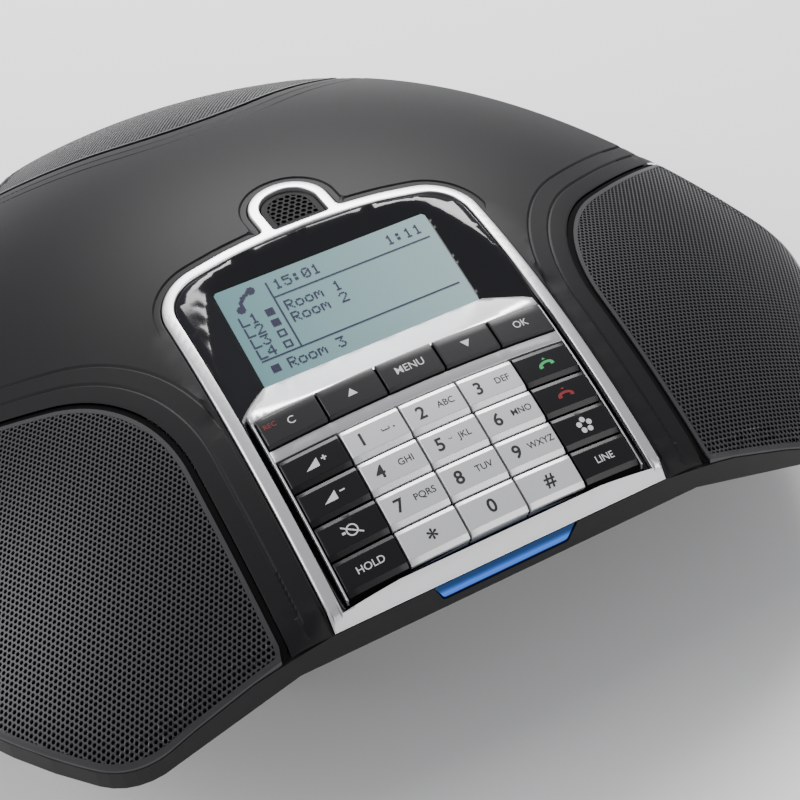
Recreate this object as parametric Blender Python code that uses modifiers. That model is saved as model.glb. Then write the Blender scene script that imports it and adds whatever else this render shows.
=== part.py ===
"""Conference speakerphone: a three-lobed table phone with a keypad console in its front valley.

Units are metres, +Z is up and the phone stands on z = 0. The keypad faces -Y.
The origin is under the middle of the phone's bounding box. The dome is turned about
its own vertical axis, which stands axisY along Y from the origin.
"""
import bpy
import bmesh
import math
from mathutils import Matrix, Vector

mm = 0.001

# ---- driving dimensions -------------------------------------------------------------
tipRadius = 120 * mm          # from the axis to the ends of the three lobes
domeHeight = 76.2 * mm        # top of the dome above the table
domeRadius = 174 * mm         # radius of the sphere that the dome is part of
valleyReach = 88.1 * mm       # from the axis to the straight edge in each valley
valleyHalf = 45.5 * mm        # half the length of that straight edge
flankAngle = math.radians(28.5)   # how fast a lobe's two sides close towards its end
cornerFillet = 19 * mm        # rounding where a side meets the lobe's end
innerFillet = 5 * mm          # rounding where a side meets the valley

wall = 2.2 * mm               # thickness of both casings
gap = 0.3 * mm                # clearance between neighbouring pieces
seamHeight = 47.3 * mm        # parting line in the valleys
edgeThickness = 0.8 * mm      # what is left of the dome's edge above the parting line
bandHeight = 7.1 * mm         # rim band under the parting line in the valleys
tipBandHeight = 5 * mm        # rim band at the lobes' ends
baseScale = 0.62              # the base's outline as a share of the rim's
baseHeight = 2 * mm           # underside of the base above the table
bowlCurve = 1.3               # 1 gives the bowl straight sides, more hollows them

consoleHalf = 37.5 * mm       # half width of the silver frame
frameBand = 2.6 * mm          # width of the silver frame along the sides
frameTopReach = 3.4 * mm      # from the axis to the frame's upper edge, in the middle
frameArch = 1.9 * mm          # how far that edge falls towards its corners
frameCorner = 11 * mm         # corner radius at the frame's top
frameThickness = 2.6 * mm
frontStrip = 1.05 * mm        # thickness of the frame's lip over the front edge
micHalf = 9.2 * mm            # half width of the round loop at the frame's top
micBand = 2.5 * mm
micReach = 2 * mm             # from the axis to the loop's centre
micStrip = 1.6 * mm           # silver left between the microphone and the display surround

columnPitch = 13.16 * mm
rowPitch = 7.77 * mm
keyGap = 0.5 * mm
keyProud = 0.35 * mm          # key tops above the dome
softProud = 0.9 * mm          # function key tops above the dome
keyDepth = 6 * mm             # from the keypad plane down to a key's underside
padEase = math.radians(2.5519)   # how much flatter the keypad lies than the dome there
padReach = 72.3 * mm          # from the axis to the keypad's middle
padSink = 1.179 * mm           # from the dome down to the keypad plane there
softStart = 18.5 * mm         # function row, measured up the keypad from its middle
softLength = 7.1 * mm
plateThickness = 3 * mm
plateMargin = 0.35 * mm       # silver line left beside the outer keys
crestBand = 3 * mm            # silver crest behind the function keys
rampReach = 8.6 * mm          # run of the slope from the crest down to the display
rampSlope = 0.68              # its rise over its run, against the display's plane
rampLip = 0.45 * mm           # its lower edge above the display
rampThickness = 2.3 * mm
matGap = 1.2 * mm             # under the keys, more than their travel

lcdHalf = 25.4 * mm           # half width of the visible display
lcdTilt = math.radians(19.8)
lcdReach = 24.4 * mm          # from the axis to the display's middle
lcdSink = 6.639 * mm           # from the dome down to the display's face there
lcdLength = 25.1 * mm         # visible length, measured up its slope
funnelSide = 2.1              # run over rise of the surround's side walls
funnelTop = 5.6               # run over rise of its upper wall
windowThickness = 1 * mm
moduleThickness = 3 * mm
moduleMargin = 3 * mm         # the display module around the visible area

grilleSide = 46.9 * mm        # from a valley's middle line to the grille's straight side
grilleFillet = 37.5 * mm
grilleThickness = 1.2 * mm

windowHalf = 16 * mm          # light window, half width at the top
windowHeight = 4.3 * mm
windowTaper = 2 * mm
windowDepth = 4 * mm
windowCorner = 1.2 * mm

micSink = 2.6 * mm            # from the dome's top down to the microphone's boot
micRecess = 1.5 * mm          # from the boot's mouth down to the capsule
bootDepth = 8 * mm
bootRadius = 6.2 * mm
bootWall = 1.2 * mm
speakerRadius = 33 * mm
speakerTop = 52 * mm
speakerDepth = 15 * mm
magnetRadius = 17 * mm
magnetHeight = 9 * mm
magnetBore = 5 * mm
basketWall = 1.2 * mm
flangeWidth = 3 * mm
flangeThickness = 1.6 * mm
coneThickness = 0.8 * mm
coneLift = 3.2 * mm           # from the basket's floor up to the dust cap
coneClearance = 2.6 * mm      # between the cone's edge and the basket's flange
coneSink = 0.6 * mm
capRadius = 8 * mm

boardThickness = 1.6 * mm
mainBoardHeight = 15 * mm
mainBoardRadius = 44 * mm
matThickness = 1.2 * mm

footRadius = 8 * mm
footRecess = 1.2 * mm
footPlaces = {"front_left": (-50 * mm, -29 * mm), "front_right": (50 * mm, -29 * mm),
              "rear_left": (-29 * mm, 39 * mm), "rear_right": (29 * mm, 39 * mm)}

bossRadius = 3.6 * mm
screwHeadRadius = 2.6 * mm
screwShankRadius = 1.3 * mm
padDepth = 11 * mm            # length of the screw pads and how far a screw reaches past them
screwPlaces = {"front_left": (-42.2 * mm, -72 * mm), "front_right": (42.2 * mm, -72 * mm),
               "rear_left": (-55 * mm, 36 * mm), "rear_right": (55 * mm, 36 * mm)}

bayHalf = 36 * mm             # connector bay under the rear lobe
bayReach = 50 * mm
bayHeight = 20 * mm
socketDepth = 13 * mm
socketWall = 1.5 * mm
socketFloor = 5 * mm
socketHeight = 6 * mm         # clear height of every socket's mouth
socketWidths = {"microphone_socket_left": 10 * mm, "line_socket": 10 * mm,
                "power_socket": 8 * mm, "microphone_socket_right": 10 * mm}

valleyAngles = [-90, 30, 150]
lobeAngles = {"left": 210, "right": -30, "rear": 90}
arcStep = math.radians(8)


# ---- plain geometry -----------------------------------------------------------------
def turn(point, degrees):
    return Matrix.Rotation(math.radians(degrees), 2) @ Vector(point)


def fillet(points, radii, step=arcStep):
    """Rounds each corner of a closed outline with its own radius."""
    rounded = []
    for i, (corner, radius) in enumerate(zip(points, radii)):
        corner = Vector(corner)
        before = (Vector(points[i - 1]) - corner).normalized()
        after = (Vector(points[(i + 1) % len(points)]) - corner).normalized()
        half = before.angle(after) / 2
        if radius < 1e-6 or half > math.pi / 2 - 1e-3:
            rounded.append(corner)
            continue
        centre = corner + (before + after).normalized() * radius / math.sin(half)
        first = corner + before * radius / math.tan(half) - centre
        sweep = first.angle_signed(corner + after * radius / math.tan(half) - centre)
        count = max(2, math.ceil(abs(sweep) / step))
        rounded += [centre + Matrix.Rotation(-sweep * k / count, 2) @ first for k in range(count + 1)]
    return rounded


def offset(points, distance):
    """Moves a closed anticlockwise outline inwards by a distance."""
    moved = []
    for i, point in enumerate(points):
        a = (Vector(point) - Vector(points[i - 1])).normalized()
        b = (Vector(points[(i + 1) % len(points)]) - Vector(point)).normalized()
        normal = Vector((-a.y - b.y, a.x + b.x)).normalized()
        moved.append(Vector(point) + normal * distance / max(0.5, normal.dot(Vector((-a.y, a.x)))))
    return moved


def rimOutline():
    """The phone seen from above: straight valleys joined by three wide lobes."""
    start = Vector((valleyHalf, -valleyReach))
    lobe = lobeAngles["right"]
    local = turn(start, -lobe)
    side = Vector((math.cos(flankAngle), math.sin(flankAngle)))
    reach = abs(local.x * side.y + abs(local.y) * side.x)
    along = math.sqrt((tipRadius - cornerFillet) ** 2 - (reach - cornerFillet) ** 2)
    foot = Vector((side.y, -side.x)) * reach
    tangent = foot + side * along
    centre = foot - Vector((side.y, -side.x)) * cornerFillet + side * along
    first = math.atan2((tangent - centre).y, (tangent - centre).x)
    last = math.atan2(centre.y, centre.x)
    count = math.ceil((last - first) / arcStep)
    half = [centre + Vector((math.cos(a), math.sin(a))) * cornerFillet
            for a in (first + (last - first) * k / count for k in range(count))]
    turns = math.ceil(abs(last) / (arcStep / 1.5))
    arc = [Vector((math.cos(last * (1 - k / turns)), math.sin(last * (1 - k / turns)))) * tipRadius
           for k in range(turns + 1)]
    lower = half + arc
    upper = [Vector((p.x, -p.y)) for p in reversed(lower[:-1])]
    points = []
    radii = []
    for turned in (0, 120, 240):
        corner = turn(start, turned)
        points.append(corner)
        radii.append(innerFillet)
        points += [turn(p, lobe + turned) for p in lower + upper]
        radii += [0] * (len(lower) + len(upper))
        points.append(turn((-valleyHalf, -valleyReach), turned + 120))
        radii.append(innerFillet)
    return fillet(points, radii)


def grilleOutline(grow=0.0, reach=None):
    """A grille in its lobe, drawn along +X: two straight sides at 60 degrees and a round inner end."""
    side = grilleSide - grow
    tip = Vector((side / math.sin(math.radians(60)), 0))
    run = tipRadius * 1.2 if reach is None else reach
    far = [Vector((run, (run - tip.x) * math.tan(math.radians(60)) * s)) for s in (-1, 1)]
    return fillet([tip, far[0], far[1]], [grilleFillet - grow, 0, 0], arcStep * 1.5)


def consoleOutline(inset, front, step=arcStep):
    """The console's outline: straight sides, round upper corners, gently arched top."""
    half = consoleHalf - inset
    top = -frameTopReach - inset
    corner = frameCorner - inset
    arch = [Vector((half * 0.5, top - frameArch * 0.25)), Vector((0, top)),
            Vector((-half * 0.5, top - frameArch * 0.25))]
    points = [Vector((-half, -front)), Vector((half, -front)), Vector((half, top - frameArch))]
    points += arch + [Vector((-half, top - frameArch))]
    return fillet(points, [0, 0, corner, 0, 0, 0, corner], step)


def micOutline(inset):
    """The round loop that stands on the frame's top, seen from above."""
    half = micHalf - inset
    foot = -frameTopReach - frameBand + micStrip + max(inset - micBand, 0)
    top = micReach + half
    return fillet([Vector((-half, foot)), Vector((half, foot)), Vector((half, top)), Vector((-half, top))],
                  [0, 0, half * 0.98, half * 0.98])


def domeAt(radius):
    """Height of the dome's surface at a distance from the axis, as a paraboloid close to the sphere."""
    return domeHeight - radius ** 2 / (2 * domeRadius)


def seamAt(radius):
    return min(seamHeight, domeAt(radius) - edgeThickness)


def bandAt(radius):
    return min(seamHeight - bandHeight, seamAt(radius) - tipBandHeight)


outline = rimOutline()
axisY = -(max(p.y for p in outline) + min(p.y for p in outline)) / 2
lobeReach = max(p.length for p in outline)

# ---- scene --------------------------------------------------------------------------
for old in list(bpy.data.objects):
    bpy.data.objects.remove(old, do_unlink=True)
parts = bpy.data.collections.new("conference_speakerphone")
cutters = bpy.data.collections.new("cutters")
bpy.context.scene.collection.children.link(parts)
bpy.context.scene.collection.children.link(cutters)
bench = bpy.data.scenes.new("bench")    # a second scene, so that shapes in the making are quick to evaluate


def material(name, colour, roughness, metallic=0.0):
    made = bpy.data.materials.new(name)
    made.use_nodes = True
    shader = made.node_tree.nodes["Principled BSDF"]
    shader.inputs["Base Color"].default_value = (*colour, 1)
    shader.inputs["Roughness"].default_value = roughness
    shader.inputs["Metallic"].default_value = metallic
    made.diffuse_color = (*colour, 1)
    return made


charcoal = material("charcoal casing", (0.045, 0.045, 0.048), 0.55)
blackBase = material("black base", (0.02, 0.02, 0.022), 0.5)
silver = material("satin silver", (0.72, 0.72, 0.73), 0.3, 1.0)
glossBlack = material("gloss black", (0.01, 0.01, 0.011), 0.15)
clearGlass = material("clear window", (0.6, 0.7, 0.7), 0.05)
greyGlass = material("display grey", (0.35, 0.5, 0.52), 0.3)
mesh = material("dark grille", (0.09, 0.09, 0.095), 0.45, 0.6)
blueGlow = material("blue light guide", (0.05, 0.25, 0.9), 0.2)
boardGreen = material("circuit board", (0.03, 0.16, 0.07), 0.5)
blackRubber = material("black rubber", (0.02, 0.02, 0.02), 0.8)
paper = material("cone paper", (0.03, 0.03, 0.03), 0.7)
steel = material("zinc steel", (0.6, 0.6, 0.6), 0.35, 1.0)
socketBlack = material("socket plastic", (0.03, 0.03, 0.03), 0.4)
keySilver = material("silver key", (0.6, 0.6, 0.61), 0.4, 0.8)
keyBlack = material("black key", (0.02, 0.02, 0.022), 0.35)
keyGrey = material("grey function key", (0.06, 0.06, 0.062), 0.35)


def put(name, data, finish=None):
    """Links a mesh as a part, or as a cutter when it has no finish."""
    made = bpy.data.objects.new(name, data)
    if finish is None:
        cutters.objects.link(made)
        made.hide_render = True
        made.display_type = "WIRE"
    else:
        parts.objects.link(made)
        data.materials.clear()
        data.materials.append(finish)
    return made


def solidMesh(build):
    """The evaluated mesh of a temporary object, welded and with its faces turned outwards."""
    bench.collection.objects.link(build)
    layer = bench.view_layers[0]
    layer.update()
    data = bpy.data.meshes.new_from_object(build.evaluated_get(layer.depsgraph))
    data.transform(build.matrix_world)
    bpy.data.objects.remove(build)
    bm = bmesh.new()
    bm.from_mesh(data)
    bmesh.ops.remove_doubles(bm, verts=bm.verts, dist=1e-6)
    bmesh.ops.recalc_face_normals(bm, faces=bm.faces)
    bm.to_mesh(data)
    bm.free()
    return data


def prismMesh(loops, low, high, place=None):
    """A prism of a flat outline, with holes, from low to high along its local Z."""
    curve = bpy.data.curves.new("outline", "CURVE")
    curve.dimensions = "2D"
    curve.fill_mode = "BOTH"
    curve.extrude = (high - low) / 2
    for loop in loops:
        spline = curve.splines.new("POLY")
        spline.points.add(len(loop) - 1)
        for slot, point in zip(spline.points, loop):
            slot.co = (point[0], point[1], 0, 1)
        spline.use_cyclic_u = True
    build = bpy.data.objects.new("prism", curve)
    place = place or Matrix.Translation((0, axisY, 0))
    build.matrix_world = place @ Matrix.Translation((0, 0, (low + high) / 2))
    return solidMesh(build)


def turnedMesh(profile, centre=(0, 0), steps=48):
    """A solid turned about a vertical axis. The profile runs (radius, height), top to bottom."""
    data = bpy.data.meshes.new("profile")
    bm = bmesh.new()
    verts = [bm.verts.new((r, 0, z)) for r, z in profile]
    for a, b in zip(verts, verts[1:]):
        bm.edges.new((a, b))
    bm.to_mesh(data)
    bm.free()
    build = bpy.data.objects.new("turned", data)
    screw = build.modifiers.new("turn", "SCREW")
    screw.steps = steps
    screw.render_steps = steps
    screw.use_merge_vertices = True
    screw.merge_threshold = 0.00001
    build.location = (centre[0], centre[1] + axisY, 0)
    return solidMesh(build)


def boxMesh(low, high):
    bm = bmesh.new()
    bmesh.ops.create_cube(bm, size=1)
    for vert in bm.verts:
        vert.co = [low[i] + (vert.co[i] + 0.5) * (high[i] - low[i]) for i in range(3)]
    data = bpy.data.meshes.new("box")
    bm.to_mesh(data)
    bm.free()
    data.transform(Matrix.Translation((0, axisY, 0)))
    return data


def lensMesh(lift, thickness=None, floor=20 * mm, steps=54):
    """The dome as a turned solid: down to a flat floor, or a skin of a given thickness."""
    rim = lobeReach + 6 * mm
    rings = 13
    top = [(rim * k / rings, domeAt(rim * k / rings) + lift) for k in range(rings + 1)]
    if thickness is None:
        floor = min(floor, domeAt(rim) + lift - wall)
        under = [(rim, floor), (0, floor)]
    else:
        under = [(r, z - thickness) for r, z in reversed(top)]
    return turnedMesh(top + under, steps=steps)


def carve(target, cutter, operation="DIFFERENCE"):
    step = target.modifiers.new(operation.lower(), "BOOLEAN")
    step.operation = operation
    step.object = cutter
    step.solver = "EXACT"
    return target


def smooth(target, angle=30):
    target.data.shade_smooth()
    target.data.set_sharp_from_angle(angle=math.radians(angle))
    return target


# ---- casings ------------------------------------------------------------------------
def bowlLoops(inset, rise, top=domeHeight):
    """The lower casing's walls as loops of one length: a flat top, the band and the bowl to the base."""
    flat = offset(outline, inset)
    band = [bandAt(p.length) for p in outline]
    loops = [[(p.x, p.y, top) for p in flat], [(p.x, p.y, z + rise) for p, z in zip(flat, band)]]
    rings = 5
    for k in range(1, rings + 1):
        share = k / rings
        small = offset([p * (1 - (1 - baseScale) * share) for p in outline], inset)
        drop = share ** bowlCurve
        loops.append([(p.x, p.y, z + (baseHeight - z) * drop + rise) for p, z in zip(small, band)])
    return loops


def loftMesh(loops):
    """Closed loops of one length joined by faces, with flat lids on the first and the last."""
    bm = bmesh.new()
    rings = [[bm.verts.new(Vector(p) + Vector((0, axisY, 0))) for p in loop] for loop in loops]
    count = len(rings[0])
    for a, b in zip(rings, rings[1:]):
        for i in range(count):
            bm.faces.new((a[i], a[(i + 1) % count], b[(i + 1) % count], b[i]))
    bm.faces.new(rings[0])
    bm.faces.new(rings[-1])
    bmesh.ops.recalc_face_normals(bm, faces=bm.faces)
    data = bpy.data.meshes.new("loft")
    bm.to_mesh(data)
    bm.free()
    return data


def bowlAt(x, y):
    """Height of the bowl's outside under a point."""
    aim = Vector((x, y))
    reach = lobeReach
    for a, b in zip(outline, outline[1:] + outline[:1]):
        cross = aim.x * (b - a).y - aim.y * (b - a).x
        if abs(cross) > 1e-12:
            along = (a.x * (b - a).y - a.y * (b - a).x) / cross
            part = (aim.x * a.y - aim.y * a.x) / -cross
            if along > 0 and -1e-9 <= part <= 1 + 1e-9:
                reach = along * aim.length
                break
    share = (1 - aim.length / reach) / (1 - baseScale)
    if share > 1:
        return baseHeight
    return bandAt(reach) + (baseHeight - bandAt(reach)) * share ** bowlCurve


def cylinderMesh(x, y, low, high, radius, steps=16):
    return turnedMesh([(0, high), (radius, high), (radius, low), (0, low)], (x, y), steps)


skinTop = put("skin_top", lensMesh(0))
below = [(lobeReach + 8 * mm) * k / 16 for k in range(17)]
underSeam = put("under_seam", turnedMesh([(r, seamAt(r)) for r in below] +
                                         [(below[-1], 5 * mm), (0, 5 * mm)]))
frameHole = put("frame_hole", prismMesh([consoleOutline(-gap, valleyReach + 10 * mm)], 30 * mm, 90 * mm))
micHole = put("mic_hole", prismMesh([micOutline(-gap)], 60 * mm, 90 * mm))

upper = put("upper_shell", prismMesh([outline], 25 * mm, 90 * mm), charcoal)
carve(upper, skinTop, "INTERSECT")
innerRoom = put("inner_room", prismMesh([offset(outline, wall)], 5 * mm, 95 * mm))
carve(innerRoom, put("inner_skin", lensMesh(-wall, floor=10 * mm)), "INTERSECT")
carve(upper, innerRoom)
carve(upper, underSeam)
for place, (x, y) in screwPlaces.items():
    low = bowlAt(x, y) + padDepth + gap
    high = domeAt(math.hypot(x, y)) - wall / 2
    carve(upper, put("boss_" + place, cylinderMesh(x, y, low, high, bossRadius)), "UNION")
    carve(upper, put("boss_hole_" + place, cylinderMesh(x, y, low - mm, low + padDepth,
                                                        screwShankRadius + gap)))
carve(upper, frameHole)
carve(upper, micHole)
for side, angle in lobeAngles.items():
    place = Matrix.Translation((0, axisY, 0)) @ Matrix.Rotation(math.radians(angle), 4, "Z")
    carve(upper, put("grille_hole_" + side, prismMesh([grilleOutline(gap)], 20 * mm, 90 * mm, place)))
smooth(upper)

lower = put("lower_shell", loftMesh(bowlLoops(0, 0)), blackBase)
carve(lower, put("above_seam", turnedMesh([(0, domeHeight + 5 * mm), (below[-1], domeHeight + 5 * mm)] +
                                          [(r, seamAt(r) - gap) for r in reversed(below)])))
carve(lower, put("lower_hollow", loftMesh(bowlLoops(wall, wall, domeHeight + 5 * mm))))
bayWall = put("bay_wall", boxMesh((-bayHalf - wall, bayReach, baseHeight + wall / 2),
                                  (bayHalf + wall, tipRadius, bayHeight + wall)))
bowlOutside = put("bowl_outside", loftMesh(bowlLoops(wall / 2, wall / 2)))
carve(bayWall, bowlOutside, "INTERSECT")
carve(lower, bayWall, "UNION")
carve(lower, put("bay_room", boxMesh((-bayHalf, bayReach + wall, -5 * mm), (bayHalf, tipRadius + 9 * mm,
                                                                            bayHeight))))
for place, (x, y) in screwPlaces.items():
    foot = bowlAt(x, y)
    pad = put("pad_" + place, cylinderMesh(x, y, baseHeight, foot + padDepth, bossRadius + wall))
    carve(pad, bowlOutside, "INTERSECT")
    carve(lower, pad, "UNION")
    head = foot - 1.5 * mm
    top = foot + 2 * mm - gap
    tip = foot + 2 * padDepth - mm
    hole = [(0, foot + padDepth + mm), (screwShankRadius + gap, foot + padDepth + mm),
            (screwShankRadius + gap, top + gap), (screwHeadRadius + gap, top + gap),
            (screwHeadRadius + gap, 0), (0, 0)]
    carve(lower, put("screw_hole_" + place, turnedMesh(hole, (x, y), 16)))
    screw = put("case_screw_" + place, turnedMesh([(0, tip), (screwShankRadius, tip), (screwShankRadius,
                                                                                       top),
                                                   (screwHeadRadius, top), (screwHeadRadius, head), (0,
                                                                                                     head)],
                                                  (x, y), 16), steel)
    smooth(screw)
for place, (x, y) in footPlaces.items():
    carve(lower, put("foot_seat_" + place, cylinderMesh(x, y, 0, baseHeight + footRecess, footRadius + gap,
                                                        24)))
    pad = put("rubber_foot_" + place, cylinderMesh(x, y, 0, baseHeight + footRecess - gap, footRadius, 24),
              blackRubber)
    smooth(pad)


# ---- light guides in the rim band -----------------------------------------------------
def guideMesh(grow, depth, proud, above, angle):
    """A light window's outline seen from outside: straight top, sloping sides, round lower corners."""
    top = seamHeight - 2 * gap
    low = top - windowHeight + gap - grow
    half = windowHalf + grow
    foot = half - windowTaper
    shape = fillet([Vector((-half, top)), Vector((-foot, low)), Vector((foot, low)), Vector((half, top))],
                   [0, windowCorner, windowCorner, 0])
    if above > 0:
        shape += [Vector((half, top + above)), Vector((-half, top + above))]
    place = (Matrix.Translation((0, axisY, 0)) @ Matrix.Rotation(math.radians(angle + 90), 4, "Z")
             @ Matrix.Rotation(math.radians(90), 4, "X"))
    return prismMesh([shape], valleyReach - depth, valleyReach + proud, place)


for name, angle in zip(("front", "right", "left"), valleyAngles):
    carve(lower, put("guide_hole_" + name, guideMesh(gap, windowDepth + mm, 2 * mm, 3 * mm, angle)))
    put("light_guide_" + name, guideMesh(0, windowDepth, -gap, 0, angle), blueGlow)

# ---- connectors in the bay -------------------------------------------------------------
free = 2 * bayHalf - sum(w + 2 * socketWall for w in socketWidths.values())
space = free / (len(socketWidths) + 1)
edge = -bayHalf + space
for name, width in socketWidths.items():
    low = Vector((edge, bayReach + wall - socketDepth, socketFloor))
    high = Vector((edge + width + 2 * socketWall, bayReach + wall - gap,
                   socketFloor + socketHeight + 2 * socketWall))
    hole = put(name + "_hole", boxMesh(low - Vector((gap, gap, gap)), high + Vector((gap, 2 * mm, gap))))
    carve(lower, hole)
    socket = put(name, boxMesh(low, high), socketBlack)
    mouth = (low + Vector((socketWall, socketWall, socketWall)),
             high + Vector((-socketWall, 2 * mm, -socketWall)))
    carve(socket, put(name + "_mouth", boxMesh(*mouth)))
    edge = high.x + space
smooth(lower)

# ---- console: silver frame, display surround, keypad ------------------------------------
frame = put("panel_frame", prismMesh([consoleOutline(0, valleyReach)], 30 * mm, 90 * mm), silver)
carve(frame, put("mic_loop", prismMesh([micOutline(0)], 30 * mm, 90 * mm)), "UNION")
carve(frame, skinTop, "INTERSECT")
frameFront = valleyReach - frontStrip
carve(frame, put("frame_inside", prismMesh([consoleOutline(frameBand, frameFront)], 20 * mm, 95 * mm)))
carve(frame, put("mic_inside", prismMesh([micOutline(micBand)], 20 * mm, 95 * mm)))
frameFloor = put("frame_floor", lensMesh(-frameThickness, floor=10 * mm))
carve(frameFloor, put("behind_lip", boxMesh((-tipRadius, -frameFront, 5 * mm), (tipRadius, tipRadius,
                                                                                95 * mm))), "INTERSECT")
carve(frame, frameFloor)
carve(frame, underSeam)
smooth(frame)

padTilt = math.asin(padReach / domeRadius) - padEase
padHeight = domeAt(padReach) - padSink
lcdHeight = domeAt(lcdReach) - lcdSink
padPlace = Matrix.Translation((0, axisY - padReach, padHeight)) @ Matrix.Rotation(padTilt, 4, "X")
lcdPlace = Matrix.Translation((0, axisY - lcdReach, lcdHeight)) @ Matrix.Rotation(lcdTilt, 4, "X")


def rectangle(half, low, high):
    return [Vector((-half, low)), Vector((half, low)), Vector((half, high)), Vector((-half, high))]


def slabMesh(half, low, high, under, over, place):
    return prismMesh([rectangle(half, low, high)], under, over, place)


gridHalf = 2.5 * columnPitch
gridTop = 2 * rowPitch
softEnd = softStart + softLength
crestEnd = softEnd + crestBand
skin = put("bezel_skin", lensMesh(-0.1 * mm))

bezelPlan = consoleOutline(frameBand + gap, frameFront - gap - mm)
bezel = put("display_bezel", prismMesh([bezelPlan], 30 * mm, 90 * mm), glossBlack)
carve(bezel, put("rail_skin", lensMesh(-0.1 * mm, plateThickness)), "INTERSECT")
block = put("display_block", prismMesh([offset(bezelPlan, 0.001 * mm)], 40 * mm, 90 * mm))
carve(block, skin, "INTERSECT")
carve(block, put("above_display", slabMesh(tipRadius / 2, -lcdLength * 0.7, tipRadius, gap, 60 * mm,
                                           lcdPlace)),
      "INTERSECT")
carve(bezel, block, "UNION")
carve(bezel, put("under_display", slabMesh(tipRadius / 2, -lcdLength * 0.75, tipRadius, -60 * mm, gap,
                                           lcdPlace)))
openHalf = gridHalf + plateMargin + gap
carve(bezel, put("pad_opening", slabMesh(openHalf, -gridTop - 20 * mm, crestEnd + gap, -30 * mm, 30 * mm,
                                         padPlace)))


def rampPlan(grow):
    """The slope below the display seen square to it: it widens from the display to the crest."""
    foot = -lcdLength / 2
    wide = gridHalf + plateMargin + grow
    corner = lcdHalf + grow
    far = foot - rampReach - 6 * mm
    return [Vector((-corner, foot)), Vector((-wide, foot - rampReach)), Vector((-wide, far)),
            Vector((wide, far)), Vector((wide, foot - rampReach)), Vector((corner, foot))]


carve(bezel, put("ramp_opening", prismMesh([rampPlan(gap)], -20 * mm, 40 * mm, lcdPlace)))


def funnelMesh():
    """The space above the display: its walls slope out from the visible area to the frame."""
    deep = 14 * mm
    sideRun = funnelSide * deep
    topRun = funnelTop * deep
    small = rectangle(lcdHalf, -lcdLength / 2 - gap, lcdLength / 2)
    large = [Vector((-lcdHalf - sideRun, -lcdLength / 2 - gap)),
             Vector((lcdHalf + sideRun, -lcdLength / 2 - gap)),
             Vector((lcdHalf + sideRun, lcdLength / 2 + topRun)), Vector((-lcdHalf - sideRun,
                                                                          lcdLength / 2 + topRun))]
    sunk = [(p.x, p.y, -2 * mm) for p in small]
    loops = [[(p.x, p.y, deep) for p in large], [(p.x, p.y, gap) for p in small], sunk]
    data = loftMesh(loops)
    data.transform(Matrix.Translation((0, -axisY, 0)))
    data.transform(lcdPlace)
    return data


carve(bezel, put("funnel", funnelMesh()))
smooth(bezel)

put("display_window", slabMesh(lcdHalf + mm, -lcdLength / 2 - mm, lcdLength / 2 + mm, -windowThickness, 0,
                               lcdPlace),
    clearGlass)
moduleHalf = lcdHalf + moduleMargin
moduleEnd = lcdLength / 2 + moduleMargin
moduleTop = -windowThickness - gap
put("lcd_module", slabMesh(moduleHalf, -moduleEnd, moduleEnd, moduleTop - moduleThickness, moduleTop,
                           lcdPlace),
    greyGlass)
lightTop = moduleTop - moduleThickness - gap
put("lcd_backlight", slabMesh(moduleHalf - mm, -moduleEnd + mm, moduleEnd - mm, lightTop - 2 * mm, lightTop,
                              lcdPlace),
    clearGlass)

plate = put("keypad_plate", slabMesh(gridHalf + plateMargin, gridTop + gap, crestEnd, -30 * mm, 30 * mm,
                                     padPlace),
            silver)
carve(plate, skinTop, "INTERSECT")
carve(plate, put("plate_floor", lensMesh(-plateThickness, floor=10 * mm)))


def rampMesh():
    """The slope from the crest down to the display's lower edge, cut from a profile along X."""
    foot = -lcdLength / 2
    run = rampReach + 4 * mm
    low = foot - (rampThickness - rampLip + gap) / rampSlope
    profile = [Vector((foot, rampLip)), Vector((foot - run, rampLip + run * rampSlope)),
               Vector((foot - run, rampLip + run * rampSlope - rampThickness)), Vector((low, gap))]
    turned = Matrix(((0, 0, 1, 0), (1, 0, 0, 0), (0, 1, 0, 0), (0, 0, 0, 1)))
    return prismMesh([profile], -consoleHalf, consoleHalf, lcdPlace @ turned)


ramp = put("ramp", rampMesh())
carve(ramp, put("ramp_sides", prismMesh([rampPlan(0)], -20 * mm, 40 * mm, lcdPlace)), "INTERSECT")
carve(ramp, put("ramp_skin", lensMesh(-0.02 * mm)), "INTERSECT")
carve(plate, ramp, "UNION")
softHole = slabMesh(gridHalf, softStart - gap / 2, softEnd + gap / 2, -30 * mm, 30 * mm, padPlace)
carve(plate, put("soft_hole", softHole))
smooth(plate)

# ---- keys ------------------------------------------------------------------------------
keyRows = [["volume_up", "1", "2", "3", "answer"], ["volume_down", "4", "5", "6", "hang_up"],
           ["mute", "7", "8", "9", "conference"], ["hold", "star", "0", "hash", "line"]]
softKeys = ["clear", "up", "menu", "down", "ok"]
keySkin = put("key_skin", lensMesh(keyProud))
softSkin = put("soft_skin", lensMesh(softProud))


def keySolid(name, column, low, high, crown, finish):
    left = -gridHalf + column * columnPitch + keyGap / 2
    right = left + columnPitch - keyGap
    middle = Vector(((left + right) / 2, (low + high) / 2))
    local = [Vector((left, low)) - middle, Vector((right, low)) - middle,
             Vector((right, high)) - middle, Vector((left, high)) - middle]
    data = prismMesh([local], -keyDepth, 12 * mm, Matrix.Identity(4))
    key = put(name, data, finish)
    key.matrix_world = padPlace @ Matrix.Translation((middle.x, middle.y, 0))
    return carve(key, crown, "INTERSECT")


for row, names in enumerate(keyRows):
    high = gridTop - row * rowPitch - keyGap / 2
    for column, name in enumerate(names):
        finish = keyBlack if column in (0, 4) else keySilver
        keySolid("key_" + name, column, high - rowPitch + keyGap, high, keySkin, finish)
for column, name in enumerate(softKeys):
    keySolid("key_" + name, column, softStart + gap / 2, softEnd - gap / 2, softSkin, keyGrey)

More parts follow.
